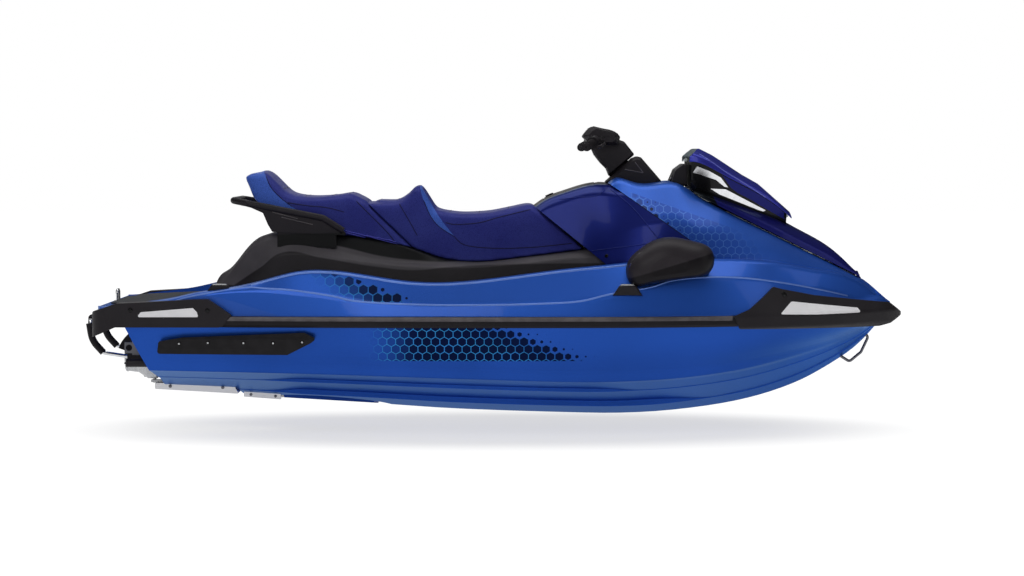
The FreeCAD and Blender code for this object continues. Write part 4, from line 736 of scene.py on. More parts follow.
# Where the pedestal's side changes tone, in metres: the lower and upper edge of a pale band painted
# along its ledge as a highlight; above the upper edge the side is painted near black as shade under
# the seat.
LEDGE_HIGHLIGHT_LOW = [
    (-1.06, 0.298), (-0.95, 0.371), (-0.85, 0.434), (-0.70, 0.412), (-0.48, 0.376),
    (-0.315, 0.362), (-0.18, 0.374), (0.5, 0.39),
]
LEDGE_HIGHLIGHT_HIGH = [
    (-0.90, 0.520), (-0.855, 0.506), (-0.776, 0.489), (-0.596, 0.450), (-0.462, 0.418),
    (-0.315, 0.400), (-0.18, 0.394), (0.5, 0.46),
]
SEAT_BLUE, SEAT_BLUE_PALE, SEAT_PANEL = rgb(50, 55, 132), rgb(62, 70, 148), rgb(72, 106, 200)
PLATE_METAL = (0.88, 0.88, 0.90, 1)
FINISHES = {}


def in_metres(points):
    return [(x * MM, z * MM) for x, z in points]


def make_materials(settings):
    """Every finish of the boat, by the record's slot name, and a few more for small pieces."""
    hull, deck = tuple(settings.hull_colour), tuple(settings.deck_colour)
    shoe = metal("Intake shoe", PLATE_METAL, 0.36, "brushed")
    for skin, make, *rest in (
        # painted highlight: pale gel coat for the beads along the deck's crease and top edge
        ("bead_paint", gel_coat, "Deck edge gel coat", rgb(104, 136, 212), 0.2),
        # painted highlight: pale gel coat for the bead along the visor's crease
        ("crease_paint", gel_coat, "Visor crease gel coat", rgb(112, 116, 210), 0.2),
        ("skirt_paint", gel_coat, "Skirt gel coat", rgb(28, 28, 112), 0.2),
        ("dark_cover", gel_coat, "Side cover paint", rgb(20, 28, 108), 0.2),
        ("cowl_paint", gel_coat, "Cowl gel coat", deck, 0.35, COWL_COMB),
        ("deck_paint", gel_coat, "Deck gel coat", deck, 0.35, DECK_COMB, 0.45, 0.12),
        ("hull_paint", gel_coat, "Hull gel coat", hull, 0.02, HULL_COMB, 0.68, 0.05),
        ("hood_paint", recoloured, gel_coat("Hood gel coat", rgb(26, 26, 108), 0.2),
         rgb(14, 14, 18), hood_rear),
        ("trim_paint", recoloured, gel_coat("Trim gel coat", rgb(56, 58, 168)),
         rgb(16, 16, 20), flat_faces),
        ("intake_shoe", recoloured, shoe, rgb(30, 62, 140), shoe_front),
        ("black_plastic", grained_plastic, "Grained plastic", rgb(36, 33, 37), 0.46, 900.0,
         0.28, 0.35),
        # painted shade: near-black fill for the gaps between seats and covers; also the hood's
        # rubber seal
        ("gasket", grained_plastic, "Gasket rubber", rgb(8, 8, 12), 0.7, 500.0, 0.2, 0.1),
        # partly painted highlight: real piping along the rear seat's lower edge, coloured pale for
        # the light that edge catches
        ("pale_piping", grained_plastic, "Pale piping", rgb(80, 82, 188), 0.4, 500.0, 0.2, 0.3),
        ("piping", grained_plastic, "Seam piping", rgb(20, 20, 62), 0.5, 500.0, 0.2, 0.3),
        ("rubber", grained_plastic, "Rubber", rgb(26, 23, 27), 0.6, 500.0, 0.35, 0.5),
        ("engine_block", grained_plastic, "Engine block", rgb(96, 98, 100), 0.5, 300.0, 0.4, 1.0),
        ("black_gloss", gloss_plastic, "Gloss black", rgb(9, 9, 12), 0.2, 0.15),
        ("deep_plastic", gloss_plastic, "Sponson plastic", rgb(20, 18, 21), 0.3, 0.04),
        # painted highlight: grey gloss for the strip along the rub rails' tops, also used for the
        # steering cover's creases and the handle's ribs
        ("rail_strip", gloss_plastic, "Rail strip", rgb(92, 88, 90), 0.35, 0.05),
        ("light_insert", gloss_plastic, "Pale insert", rgb(250, 249, 252), 0.45, 0.1),
        # painted shade: the mirror pods are darker below a slanted line, where their surface turns
        # under
        ("mirror_shell", shell_plastic, "Mirror shell", [rgb(18, 15, 19), rgb(48, 44, 48)],
         [(0.178, 0.304)]),
        # painted highlight and shade: the pedestal's ledge band is pale, the part under the seat
        # near black
        ("pedestal", shell_plastic, "Pedestal shell",
         [rgb(34, 31, 35), rgb(78, 75, 79), rgb(12, 13, 15)], [LEDGE_HIGHLIGHT_LOW, LEDGE_HIGHLIGHT_HIGH]),
        ("handle", shell_plastic, "Handle shell", [rgb(9, 10, 12), rgb(36, 33, 38)],
         [(0.530, 0.028)]),
        ("dark_steel", metal, "Dark bar", (0.16, 0.16, 0.18, 1), 0.3),
        ("bright_plate", metal, "Bright plate", PLATE_METAL, 0.36, "brushed"),
        ("silver_trim", metal, "Silver trim", (0.82, 0.83, 0.86, 1), 0.16),
        ("cast_alloy", metal, "Cast alloy", (0.60, 0.61, 0.63, 1), 0.34, "cast"),
        ("stainless", metal, "Stainless bar", (0.66, 0.67, 0.69, 1), 0.14),
        ("seat_rear", vinyl, "Rear seat vinyl", SEAT_BLUE, SEAT_BLUE_PALE, SEAT_PANEL,
         [in_metres(REAR_PANEL_EDGE)]),
        ("seat_front", vinyl, "Front seat vinyl", SEAT_BLUE, SEAT_BLUE_PALE, SEAT_PANEL,
         [in_metres(BAND_FRONT), in_metres(BAND_REAR)]),
        ("mat_foam", foam, "Deck foam", rgb(52, 54, 58)),
    ):
        FINISHES[skin] = make(*rest)
    FINISHES["glass"] = glass(
        "Screen glass", 40.0, (rgb(8, 10, 14), rgb(16, 20, 28)), (0.05, 0.1), Coat_Weight=1.0)
    FINISHES["mirror"] = glass(
        "Mirror glass", 8.0, ((0.78, 0.80, 0.84, 1), (0.86, 0.88, 0.9, 1)), (0.02, 0.035),
        Metallic=1.0)


# The solids of each finish; all others are black_plastic.
NODE_FINISH = {node: skin for skin, nodes in {
    "hull_paint": "hull", "deck_paint": "deck", "cowl_paint": "cowl", "hood_paint": "hood",
    "dark_cover": "side_covers", "deep_plastic": "sponsons", "mirror_shell": "mirror_pods",
    "black_gloss": "visor_base", "trim_paint": "visor", "glass": "screen",
    "stainless": "handlebar tow_hook impeller drive_shaft step_frame",
    "rubber": "grips rub_rails step_tread", "seat_rear": "seat_rear",
    "seat_front": "seat_front", "light_insert": "bumper_inserts", "mirror": "mirror_glasses",
    "dark_steel": "tow_eyes", "pedestal": "pedestal", "handle": "grab_handle",
    "cast_alloy": "jet_pump steering_nozzle", "bright_plate": "ride_plate",
    "intake_shoe": "intake_grate", "engine_block": "engine", "mat_foam": "deck_mats",
}.items() for node in nodes.split()}


# Reading places off the solids.
def surface(*names):
    """A search tree over the faces of these CAD nodes."""
    verts, faces = [], []
    for name in names:
        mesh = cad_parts[name].data
        base = len(verts)
        verts += [v.co.copy() for v in mesh.vertices]
        faces += [[base + i for i in p.vertices] for p in mesh.polygons]
    return BVHTree.FromPolygons(verts, faces)


def landed(tree, start, aim, near, lift):
    """Where a ray meets a surface, or else its nearest point: the place in millimetres,
    lifted off it, and the normal, which faces the ray's start."""
    aim = Vector(aim)
    hit, normal, _, _ = tree.ray_cast(Vector(start), aim)
    if hit is None:
        hit, normal, _, _ = tree.find_nearest(Vector(near))
    if normal.dot(aim) > 0:
        normal = -normal
    return hit / MM + normal * lift, normal


def from_side(tree, x, z, lift=0.0):
    """The starboard point of a surface at (x, z), lifted off it, and the outward normal."""
    x, z = x * MM, z * MM
    return landed(tree, (x, -2.0, z), (0, 1, 0), (x, -0.5, z), lift)


def from_above(tree, x, y, lift=0.0):
    """The highest point of a surface at (x, y), lifted off it, and the outward normal."""
    x, y = x * MM, y * MM
    return landed(tree, (x, y, 3.0), (0, 0, -1), (x, y, 0.5), lift)


def fair_run(points, count):
    """Points spread evenly along a fair curve through the given ones."""
    pts = [Vector(p) for p in points]
    ends = [pts[0] * 2 - pts[1]] + pts + [pts[-1] * 2 - pts[-2]]
    run = []
    for a, b, c, d in zip(ends, ends[1:], ends[2:], ends[3:]):
        for k in range(10):
            t = k / 10
            square, cube = 2 * a - 5 * b + 4 * c - d, 3 * b - a - 3 * c + d
            run.append(0.5 * (2 * b + (c - a) * t + square * t * t + cube * t ** 3))
    run.append(pts[-1])
    return divide(run, count)


def side_line(tree, points, lift, count=30):
    """A fair line drawn in side view and laid on the starboard face of a surface."""
    return [from_side(tree, p.x, p.y, lift)[0] for p in fair_run(points, count)]


def side_seam(tree, points, lift, radius, count=30, sides=8):
    """A thin round bar along such a line."""
    return rod(side_line(tree, points, lift, count), radius, sides, bend=0)


def side_plate(tree, outline, lift, thick, cell=14.0):
    """A thin plate cut to a side-view outline, laid over the starboard face of a surface."""
    def laid(verts, height):
        for v in verts:
            point, normal = from_side(tree, v.co.x / MM, v.co.z / MM)
            v.co = (point + normal * height) * MM

    bm = bmesh.new()
    bm.faces.new([bm.verts.new((x * MM, 0, z * MM)) for x, z in outline])
    for values, normal in zip(zip(*outline), ((1, 0, 0), (0, 0, 1))):
        low, high = min(values), max(values)
        for k in range(1, int((high - low) / cell)):
            at = Vector(normal) * ((low + k * cell) * MM)
            bmesh.ops.bisect_plane(bm, geom=everything(bm), plane_co=at, plane_no=normal)
    bmesh.ops.triangulate(bm, faces=bm.faces)
    laid(bm.verts, lift - thick)
    bm.normal_update()
    laid(verts_of(bmesh.ops.extrude_face_region(bm, geom=bm.faces[:])["geom"]), lift)
    bmesh.ops.recalc_face_normals(bm, faces=bm.faces)
    return bm


def cut_section(name, at, normal, scale, thick):
    """A block with the shape of a CAD node's section, thick along the normal.
    scale draws it in across the boat and down from its top."""
    bm = bmesh.new()
    bm.from_mesh(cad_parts[name].data)
    bmesh.ops.bisect_plane(
        bm, geom=everything(bm), plane_co=Vector(at) * MM, plane_no=normal,
        clear_inner=True, clear_outer=True
    )
    bmesh.ops.remove_doubles(bm, verts=bm.verts, dist=4e-4)
    bmesh.ops.triangle_fill(bm, edges=bm.edges[:], use_beauty=True, use_dissolve=False)
    low = min(v.co.z for v in bm.verts)
    slope = Vector(normal)
    for v in bm.verts:
        v.co.y *= scale[0]
        down = (v.co.z - low) * (1 - scale[1])
        v.co.z -= down
        v.co.x += down * slope.z / slope.x
    made = bmesh.ops.extrude_face_region(bm, geom=bm.faces[:])["geom"]
    bmesh.ops.translate(bm, verts=verts_of(made), vec=slope * thick * MM)
    bmesh.ops.recalc_face_normals(bm, faces=bm.faces)
    return bm


def cap_screw(at, normal, radius, height=3.0):
    """A round-headed screw with a sunk socket."""
    bm = bmesh.new()
    bmesh.ops.create_cone(bm, cap_ends=True, segments=24, radius1=radius * MM,
                          radius2=radius * MM, depth=2 * height * MM)
    top = [e for e in bm.edges if all(v.co.z > 0 for v in e.verts)]
    bevelled(bm, top, 0.3 * radius, 3, False)
    face = max(bm.faces, key=lambda f: f.calc_center_median().z)
    bmesh.ops.inset_region(bm, faces=[face], thickness=0.3 * radius * MM)
    pushed = bmesh.ops.extrude_discrete_faces(bm, faces=[face])["faces"][0]
    bmesh.ops.translate(bm, verts=pushed.verts, vec=(0, 0, -0.7 * height * MM))
    bmesh.ops.remove_doubles(bm, verts=bm.verts, dist=1e-6)
    return stood(bm, at, normal)


def side_screws(tree, spots, radius):
    """Screws at side-view places on both sides of the boat."""
    return both_sides(*[cap_screw(*from_side(tree, x, z), radius) for x, z in spots])


# Seats.
SEAT_HALF = {"rear": 214.0, "front": 206.0}
SEAT_TOP = {
    "rear": [
        (-984, 655), (-1003, 700), (-1017, 748), (-960, 764), (-925, 749), (-884, 709),
        (-843, 672), (-790, 658), (-719, 655), (-636, 662), (-591, 670), (-556, 656),
        (-529, 641),
    ],
    "front": [
        (-527, 641), (-450, 639), (-395, 640), (-347, 668), (-308, 702), (-264, 640), (-236, 604),
        (-161, 589), (-99, 587), (-16, 593), (67, 609), (143, 624), (177, 604),
    ],
}
LOW_PIPING = [(-604, 520), (-540, 504), (-460, 483), (-384, 463)]
SEAT_FOOT = {"rear": (-332.0, -884.0), "front": (375.0, -328.0)}
SEAT_BACK = {"rear": [(-906, 545), (-932, 606)], "front": []}
CUSHION_EDGE = ((1.0, 40.0), (0.985, 22.0), (0.94, 9.0), (0.84, 3.0), (0.62, 1.0), (0.0, 0.0))
CROSS_SEAMS = {
    "rear": (-860.0, -770.0, -660.0, -590.0),
    "front": (-470.0, -395.0, -180.0, -60.0, 60.0),
}
CLOTH_FRAMES = 20


def drawn_in(top, low, depth):
    """A cushion's crest moved inwards; its two ends slide along the edges below them."""
    def towards(start, end):
        start, end = Vector(start), Vector(end)
        return start + (end - start).normalized() * depth
    moved = [towards(top[0], low[-1])]
    for before, at, after in zip(top, top[1:], top[2:]):
        along = (Vector(after) - Vector(before)).normalized()
        moved.append(Vector(at) + Vector((along.y, -along.x)) * depth)
    return moved + [towards(top[-1], low[0])]


def cushion_shell(which):
    """The cushion's closed form: rings in side view, drawn in towards its two sides."""
    half, top = SEAT_HALF[which], SEAT_TOP[which]
    front, rear = SEAT_FOOT[which]
    foot = [(x, SEAT_BASE_Z(x) + 0.3) for x in spread(front, rear, 14)]
    low = foot + SEAT_BACK[which]
    shares = list(CUSHION_EDGE) + [(-w, d) for w, d in reversed(CUSHION_EDGE[:-1])]
    rings = []
    bm = bmesh.new()
    for share, depth in shares:
        crest = fair_run(drawn_in(top, low, depth), 72)
        run = crest + [Vector(p) for p in low]
        rings.append([bm.verts.new((p.x * MM, share * half * MM, p.y * MM)) for p in run])
    return bridged(bm, rings)


def evaluated(obj):
    """The object's mesh with its modifiers applied."""
    graph = bpy.context.evaluated_depsgraph_get()
    return bpy.data.meshes.new_from_object(obj.evaluated_get(graph))


def smoothed(bm, factor):
    bmesh.ops.smooth_vert(
        bm, verts=bm.verts, factor=factor, use_axis_x=True, use_axis_y=True, use_axis_z=True)


def swollen(mesh, settings):
    """The cushion filled by a cloth simulation: remeshed, drawn in, blown up and held back."""
    work = bpy.data.objects.new("cushion_work", mesh)
    collection().objects.link(work)
    remesh = work.modifiers.new("remesh", "REMESH")
    remesh.mode = "VOXEL"
    remesh.voxel_size = settings.cushion_voxel
    work.data = evaluated(work)
    work.modifiers.clear()
    bm = bmesh.new()
    bm.from_mesh(work.data)
    for _ in range(4):
        smoothed(bm, 0.5)
    bm.normal_update()
    rest = [(v.co.copy(), v.normal.copy()) for v in bm.verts]
    free = [float(n.z > -0.35 and abs(n.y) + max(n.z, 0) > 0.45) for _, n in rest]
    for v, (co, normal), loose in zip(bm.verts, rest, free):
        v.co = co - normal * settings.cushion_start * loose
    bm.to_mesh(work.data)
    bm.free()
    if settings.simulate:
        cloth = work.modifiers.new("cloth", "CLOTH")
        cloth.settings.use_pressure = True
        cloth.settings.uniform_pressure_force = settings.cushion_pressure
        cloth.settings.effector_weights.gravity = 0.0
        cloth.settings.quality = 5
        for number in range(1, CLOTH_FRAMES + 1):
            bpy.context.scene.frame_set(number)
        blown = evaluated(work)
        bpy.context.scene.frame_set(1)
        work.modifiers.clear()
    else:
        blown = work.data
    out = bmesh.new()
    out.from_mesh(blown)
    out.verts.ensure_lookup_table()
    for v, (co, normal), loose in zip(out.verts, rest, free):
        moved = v.co - co
        if moved.length > settings.cushion_cap * loose:
            moved = moved.normalized() * settings.cushion_cap * loose
        v.co = co + moved
    smoothed(out, 0.4)
    bpy.data.objects.remove(work)
    return out


def make_seats(settings):
    """Both cushions with their piping and sewn creases."""
    for which, seams, edge in (("rear", REAR_SEAMS, REAR_PANEL_EDGE),
                               ("front", FRONT_SEAMS, BAND_REAR)):
        name = "seat_" + which
        bm = swollen(new_mesh("cushion", cushion_shell(which)), settings)
        pad = place(name + "_pad", bm, name, angle=60, replaces=(name,))
        smooth = pad.modifiers.new("smooth", "SUBSURF")
        smooth.levels = smooth.render_levels = 1
        mesh = pad.data
        tree = BVHTree.FromPolygons(
            [v.co for v in mesh.vertices], [p.vertices[:] for p in mesh.polygons])
        lines = [side_seam(tree, line, -0.6, 2.2) for line in seams]
        lines.append(side_seam(tree, edge[:-1], -0.8, 2.0))
        across = []
        for x in CROSS_SEAMS[which]:
            run = [from_above(tree, x, y, -1.0)[0] for y in spread(-150, 150, 31)]
            across.append(rod(run, 2.0, 8, bend=0))
        place(name + "_piping", join(both_sides(*lines), *across), "piping", angle=60)
        # The low piping is real, and its pale colour is a painted highlight.
        if which == "rear":
            low = [side_seam(tree, [(x, z - drop) for x, z in LOW_PIPING], 0.4, 1.9)
                   for drop in (0, 8)]
            place("low_piping_highlight", both_sides(*low), "pale_piping", angle=60)


# Black fill in the gaps between the big mouldings, as painted shade so the gaps read dark, and a
# seal under the hood.
def slanted(cut, offset):
    """A point on a slanted seam, moved forwards off it, and the seam's forward normal."""
    (x0, z0), (x1, z1) = cut
    along = Vector((x1 - x0, 0, z1 - z0)).normalized()
    normal = Vector((-along.z, 0, along.x))
    return Vector((x0, 0, z0)) + normal * offset, normal


def make_gap_shade_and_seal(settings):
    """Rubber lips that close the gaps between seats and covers, and a bead under the hood."""
    made = []
    for node, cut, offset, scale, thick, down in (
        ("seat_front", SEAT_FRONT_CUT, -24.0, (0.80, 0.93), 29.0, 14.0),
        ("side_covers", COVER_CUT, -5.0, (0.985, 0.985), 5.0, 0.0),
        ("seat_rear", SEAT_SPLIT_CUT, -8.0, (0.80, 0.85), 16.0, 6.0),
    ):
        at, normal = slanted(cut, offset)
        shade_fill = cut_section(node, at, normal, scale, thick)
        shift = Vector((normal.z, 0, -normal.x)) * down * MM
        bmesh.ops.translate(shade_fill, verts=shade_fill.verts, vec=shift)
        made.append(shade_fill)
    # painted shade: these blocks only darken the gaps
    place("seam_gap_shade", join(*made), "gasket", angle=40)
    (x0, z0), (x1, z1) = HOOD_SPLIT
    fall = (z1 - z0) / (x1 - x0)
    rim = [(x, COWL_TOP_Y(x) - 16, z0 + fall * (x - x0) + 3.0) for x in spread(905, 1500, 28)]
    place("hood_seal", both_sides(rod(rim, 2.6, 8, 2)), "gasket", angle=40)


# Steering.
def steer_place(along, up):
    """A point on the steering's centre plane: along the cover's face and up off it."""
    axis = Vector(STEER_AXIS)
    across = Vector((axis.z, 0, -axis.x))
    return Vector((STEER_AT[0], 0, STEER_AT[1])) + across * along + axis * up


COVER_CREASES = [[(540, 769), (617, 755)], [(582, 800), (617, 755)]]


GRIP_TIP = Vector((373.0, -400.0, 861.0))
GRIP_INNER = Vector((404.0, -262.0, 879.0))


def make_steering(settings):
    """The boot under the column, the bar's grips, plugs and buttons."""
    ribs = [(0.0, 30.0), (0.0, 50.0), (1.2, 52.0), (2.0, 49.0), (2.8, 51.0), (3.8, 50.0),
            (4.4, 46.0), (4.4, 15.0)]
    place("steering_boot", spun(ribs, steer_place(6, 0), STEER_AXIS), "rubber")
    tip = GRIP_TIP
    along = (GRIP_INNER - tip).normalized()
    ring = [(-2.6, 16.6), (-1.2, 18.6), (1.2, 18.6), (2.6, 16.6)]
    rings = [spun(ring, tip + along * (8 + 10 * k), along, 32) for k in range(11)]
    plug = [(-9, 3), (-9, 13), (-6, 16.5), (0, 17.4), (0, 6)]
    rings.append(spun(plug, tip - along, along, 32))
    place("grip_ribs", both_sides(*rings), "rubber", "steering")
    buttons = []
    for k, (turn, radius) in enumerate(((-35, 5.0), (0, 6.5), (35, 5.0))):
        turned = Matrix.Rotation(math.radians(turn), 3, along)
        out = turned @ Vector((-0.75, 0.1, 0.65)).normalized()
        at = tip + along * (143 + 14 * (k - 1)) + out * 22.5
        buttons.append(disc(at, out, radius, 8.0, 1.2))
    place("switch_buttons", both_sides(*buttons), "black_gloss", "steering")
    pivots = [disc(tip + along * 156 + Vector((34, 0, 2 * side)), (0, 0, 1), 9.0, 22.0 + side, 1.5)
              for side in (1, -1)]
    place("lever_pivots", both_sides(*pivots), "black_plastic", "steering")
    cover = surface("steering_cover")
    creases = [side_seam(cover, line, -0.2, 2.0, 12) for line in COVER_CREASES]
    place("cover_creases", both_sides(*creases), "rail_strip", angle=40)
    pad = surface("bar_pad")
    flank = (392, 900), (430, 908), (470, 906), (500, 900)
    seam = [from_side(pad, x, z, 0.4)[0] for x, z in flank]
    top = [from_above(pad, x, 0, 0.5)[0] for x in spread(388, 505, 10)]
    lines = join(both_sides(rod(seam, 2.0, 8, bend=6)), rod(top, 2.4, 8, bend=0))
    place("pad_seams", lines, "black_plastic", "steering", 40)


# The display's face, low and high on the centre plane, and half its width.
DISPLAY_LOW, DISPLAY_HIGH = Vector((730, 0, 722)), Vector((748, 0, 764))
DISPLAY_HALF = 79


def make_console(settings):
    """The glovebox latch, and the rim and plain marks of the display."""
    quarter = math.pi / 2
    panel = surface("glovebox_lid", "console_panel", "side_covers")
    at, normal = from_above(panel, 232, 0)
    latch = block([(-16, -26), (-16, 26), (14, 20), (14, -20)], -3, 4, 2.0)
    place("lid_latch", stood(latch, at, normal, quarter), "black_gloss", "glovebox")
    up = (DISPLAY_HIGH - DISPLAY_LOW).normalized()
    out = Vector((-up.z, 0, up.x))
    marks = []
    for k in range(7):
        at = DISPLAY_LOW + up * (8 + 4.4 * k) + out * 0.6 + Vector((0, 22 - 2.0 * k, 0))
        bar = block([(-1, -10 + k), (-1, 10 - k), (1, 10 - k), (1, -10 + k)], -0.5, 0.5, 0.2, 1)
        marks.append(stood(bar, at, out, quarter))
    dial = [(-0.4, 13), (0.5, 13), (0.5, 14.4), (-0.4, 14.4), (-0.4, 13)]
    marks.append(spun(dial, DISPLAY_LOW + up * 23 + out * 0.4 + Vector((0, -22, 0)), out))
    place("display_marks", join(*marks), "light_insert")
    left, right = Vector((0, -DISPLAY_HALF, 0)) + out, Vector((0, DISPLAY_HALF, 0)) + out
    ends = [(DISPLAY_LOW + side, DISPLAY_HIGH + side) for side in (left, right)]
    ends += [(end + left, end + right) for end in (DISPLAY_LOW, DISPLAY_HIGH)]
    place("display_rim", join(*[rod(pair, 2.2, 10, bend=0) for pair in ends]), "black_gloss")


# Visor panels: side-view outlines on the flank of the visor's base.
SILVER_PANEL = [(828, 783), (812, 758), (905, 728), (940, 700), (956, 697), (925, 737), (880, 762)]
SILVER_BLADE = [(884, 692), (946, 689), (1116, 602), (1106, 597), (1084, 604), (922, 668)]
DARK_RECESS = [(812, 752), (812, 706), (880, 690), (945, 695), (905, 724)]
VISOR_SKIRT = [
    (928, 747), (1087, 667), (1169, 613), (1212, 577), (1199, 563), (1127, 602), (1056, 644),
    (996, 674), (968, 694), (944, 728),
]
# Where a painted highlight runs along the visor's crease, in side view.
VISOR_HIGHLIGHT_LINE = [(838, 832), (890, 798), (941, 762), (1011, 720), (1080, 677), (1112, 656)]


def make_visor(settings):
    """The bright and dark panels on the visor's flanks, its skirt and its crease."""
    tree = surface("visor_base", "visor", "hood")

    def panels(name, skin, on, *plates):
        place(name, both_sides(*[side_plate(on, *each) for each in plates]), skin, "bow_lid")

    panels("visor_panels", "silver_trim", tree, (SILVER_PANEL, 4.0, 7.0), (SILVER_BLADE, 5.0, 9.0))
    panels("visor_skirt", "skirt_paint", surface("visor_base"), (VISOR_SKIRT, 3.0, 6.0))
    highlight_bead = side_seam(surface("visor"), VISOR_HIGHLIGHT_LINE, -0.8, 3.0, 40)
    place("visor_crease", both_sides(highlight_bead), "crease_paint", "bow_lid", 50)
    panels("visor_recesses", "black_gloss", tree, (DARK_RECESS, 2.0, 5.0))


# Trim.
RAIL_HIGHLIGHT_STRIP = ((9.0, -10.5), (13.6, -11.0), (16.4, -8.5), (16.6, 2.0), (14.4, 5.4), (9.0, 7.0))
RAIL_HIGHLIGHT_Z = 183.0


def make_rail_highlights(settings):
    """A polished strip let into the top of each rub rail."""
    bm = bmesh.new()
    rows = []
    for x in spread(-1088, 950, 60):
        y = RAIL_Y(x)
        rows.append([bm.verts.new((x * MM, -(y + out) * MM, (RAIL_HIGHLIGHT_Z + up) * MM))
                     for out, up in RAIL_HIGHLIGHT_STRIP])
    place("rail_highlight_strips", both_sides(bridged(bm, rows)), "rail_strip", angle=40)


# The deck's side crease and the side covers' creases, in side view.
DECK_CREASE = [
    (-1300, 234), (-1209, 266), (-996, 303), (-905, 301), (-790, 294), (-637, 272), (-523, 250),
    (-258, 238), (6, 238), (232, 244), (353, 253), (458, 278), (620, 306), (706, 331), (830, 343),
    (996, 338), (1160, 315), (1330, 281), (1450, 252),
]
COVER_LINES = [
    [(270, 647), (345, 656), (422, 664), (466, 698)], [(478, 688), (567, 611), (665, 488)],
    [(397, 439), (500, 455), (651, 477)],
]
DECK_EDGE_Y = -0.3  # the deck's outer flank lies beyond this, in metres


def deck_edge(deck, x):
    """The height at which the deck's outer flank ends at x, found by halving."""
    low, high = 250.0, 480.0
    for _ in range(9):
        middle = (low + high) / 2
        hit = deck.ray_cast(Vector((x * MM, -2.0, middle * MM)), Vector((0, 1, 0)))[0]
        on_flank = hit is not None and hit.y < DECK_EDGE_Y
        low, high = (middle, high) if on_flank else (low, middle)
    return low


def make_beads(settings):
    """Soft beads along the deck's crease and top edge, the side covers' creases and screws."""
    deck = surface("deck")
    edge = [from_side(deck, x, deck_edge(deck, x) - 7.0, -3.2)[0] for x in spread(-960, 700, 90)]
    highlight_beads = side_seam(deck, DECK_CREASE, -2.2, 4.6, 120, 10), rod(edge, 6.4, 12, bend=0)
    # painted highlight: these beads are coloured paler than the deck to stand for light on its
    # crease and edge
    place("deck_highlight_beads", both_sides(*highlight_beads), "bead_paint", angle=50)
    cover = surface("side_covers")
    lines = [side_seam(cover, line, -0.4, 2.2, 24) for line in COVER_LINES]
    place("cover_lines", both_sides(*lines), "dark_cover", angle=50)
    place("cover_screws", side_screws(cover, [(457, 421)], 8.0), "black_gloss")


def make_sleeves(settings):
    """Rubber sleeves on the step's frame."""
    sleeves = [rod([(-1656, y, 140), (-1645, y, 69), (-1600, y, 20)], 14.5, 20, bend=30)
               for y in (188, -188)]
    place("step_sleeves", join(*sleeves), "rubber", "step", 40)


SPONSON_SCREWS = [(-1244, 82), (-1129, 86), (-987, 86), (-869, 86), (-754, 90)]
SCREWS = (
    ("sponson_heads", "sponsons", SPONSON_SCREWS, 4.4, "stainless"),
    ("sponson_screws", "sponsons", SPONSON_SCREWS, 8.0, "black_gloss"),
    ("bumper_screws", "bow_bumper", [(1167, 270)], 12.0, "black_gloss"),
    ("stern_screws", "stern_bumpers", [(-1440, 214), (-1130, 214)], 10.0, "black_gloss"),
    ("plate_screws", "ride_plate", [(-1114, -126), (-1330, -121)], 7.0, "dark_steel"),
    ("shoe_screws", "intake_grate", [(-1007, -163), (-905, -170)], 6.0, "dark_steel"),
)


def make_screws(settings):
    """Socket screws along the sponsons, bumpers, ride plate and intake shoe."""
    for name, node, spots, radius, skin in SCREWS:
        place(name, side_screws(surface(node), spots, radius), skin)


def make_handle_ribs(settings):
    """Two slim ribs on each blade of the rear handle."""
    tree = surface("grab_handle")
    lines = [[(-900, 597), (-797, 570)], [(-862, 576), (-735, 546)]]
    ribs = [rod([from_side(tree, x, z, 0.2)[0] for x, z in line], 1.8, 8, bend=0)
            for line in lines]
    place("handle_ribs", both_sides(*ribs), "rail_strip", angle=40)


def make_jet_fittings(settings):
    """Flange bolts round the pump, the nozzle's rim and its steering rod's ball."""
    bolts = []
    rounds = (8, 22.5, 0.0, -1078.0, 115), (6, 0.0, -0.55, -1300.0, 101)
    for count, start, lean, x, reach in rounds:
        for k in range(count):
            angle = math.radians(start + 360 / count * k)
            out = Vector((lean, math.cos(angle), math.sin(angle)))
            at = Vector((x, 0, SHAFT_Z)) + Vector((0, out.y, out.z)) * reach
            bolts.append(cap_screw(at, out if lean else (-1, 0, 0), 6.0, 5.0))
    place("pump_bolts", join(*bolts), "stainless")
    profile = [(-3, 45), (-4, 50), (-2, 55), (4, 57.5), (8, 55.5), (8, 53), (0, 45), (-3, 45)]
    rim = spun(profile, (-1530.0, 0, SHAFT_Z), (1, 0, 0))
    ball = disc((-1452, 0, SHAFT_Z - 72), (0, 0, 1), 9, 16, 3, segments=3)
    place("nozzle_rim", join(rim, ball), "cast_alloy", "jet_nozzle")


def make_stern_fittings(settings):
    """Drain plug wings, the step tread's ribs and the tow hook's feet."""
    wings = []
    for y in (420.0, -420.0):
        outline = [(-1480, y - 11), (-1480, y + 11), (-1468, y + 11), (-1468, y - 11)]
        wings.append(block(outline, -8, -2, 2.0))
        wings.append(disc((-1470, y, -5), (1, 0, 0), 17.5, 5, 1.5))
    place("plug_wings", join(*wings), "black_plastic")
    outline = [(-1664, 166), (-1664, 171), (-1654, 171), (-1654, 166)]
    ribs = [block(outline, y - 9, y + 9, 1.2, 2, side=True) for y in range(-128, 129, 32)]
    place("tread_ribs", join(*ribs), "rubber", "step")
    feet = [disc((-1566, y, 222), (0, 0, 1), 13, 7, 2) for y in (26, -26)]
    place("hook_feet", join(*feet), "stainless")


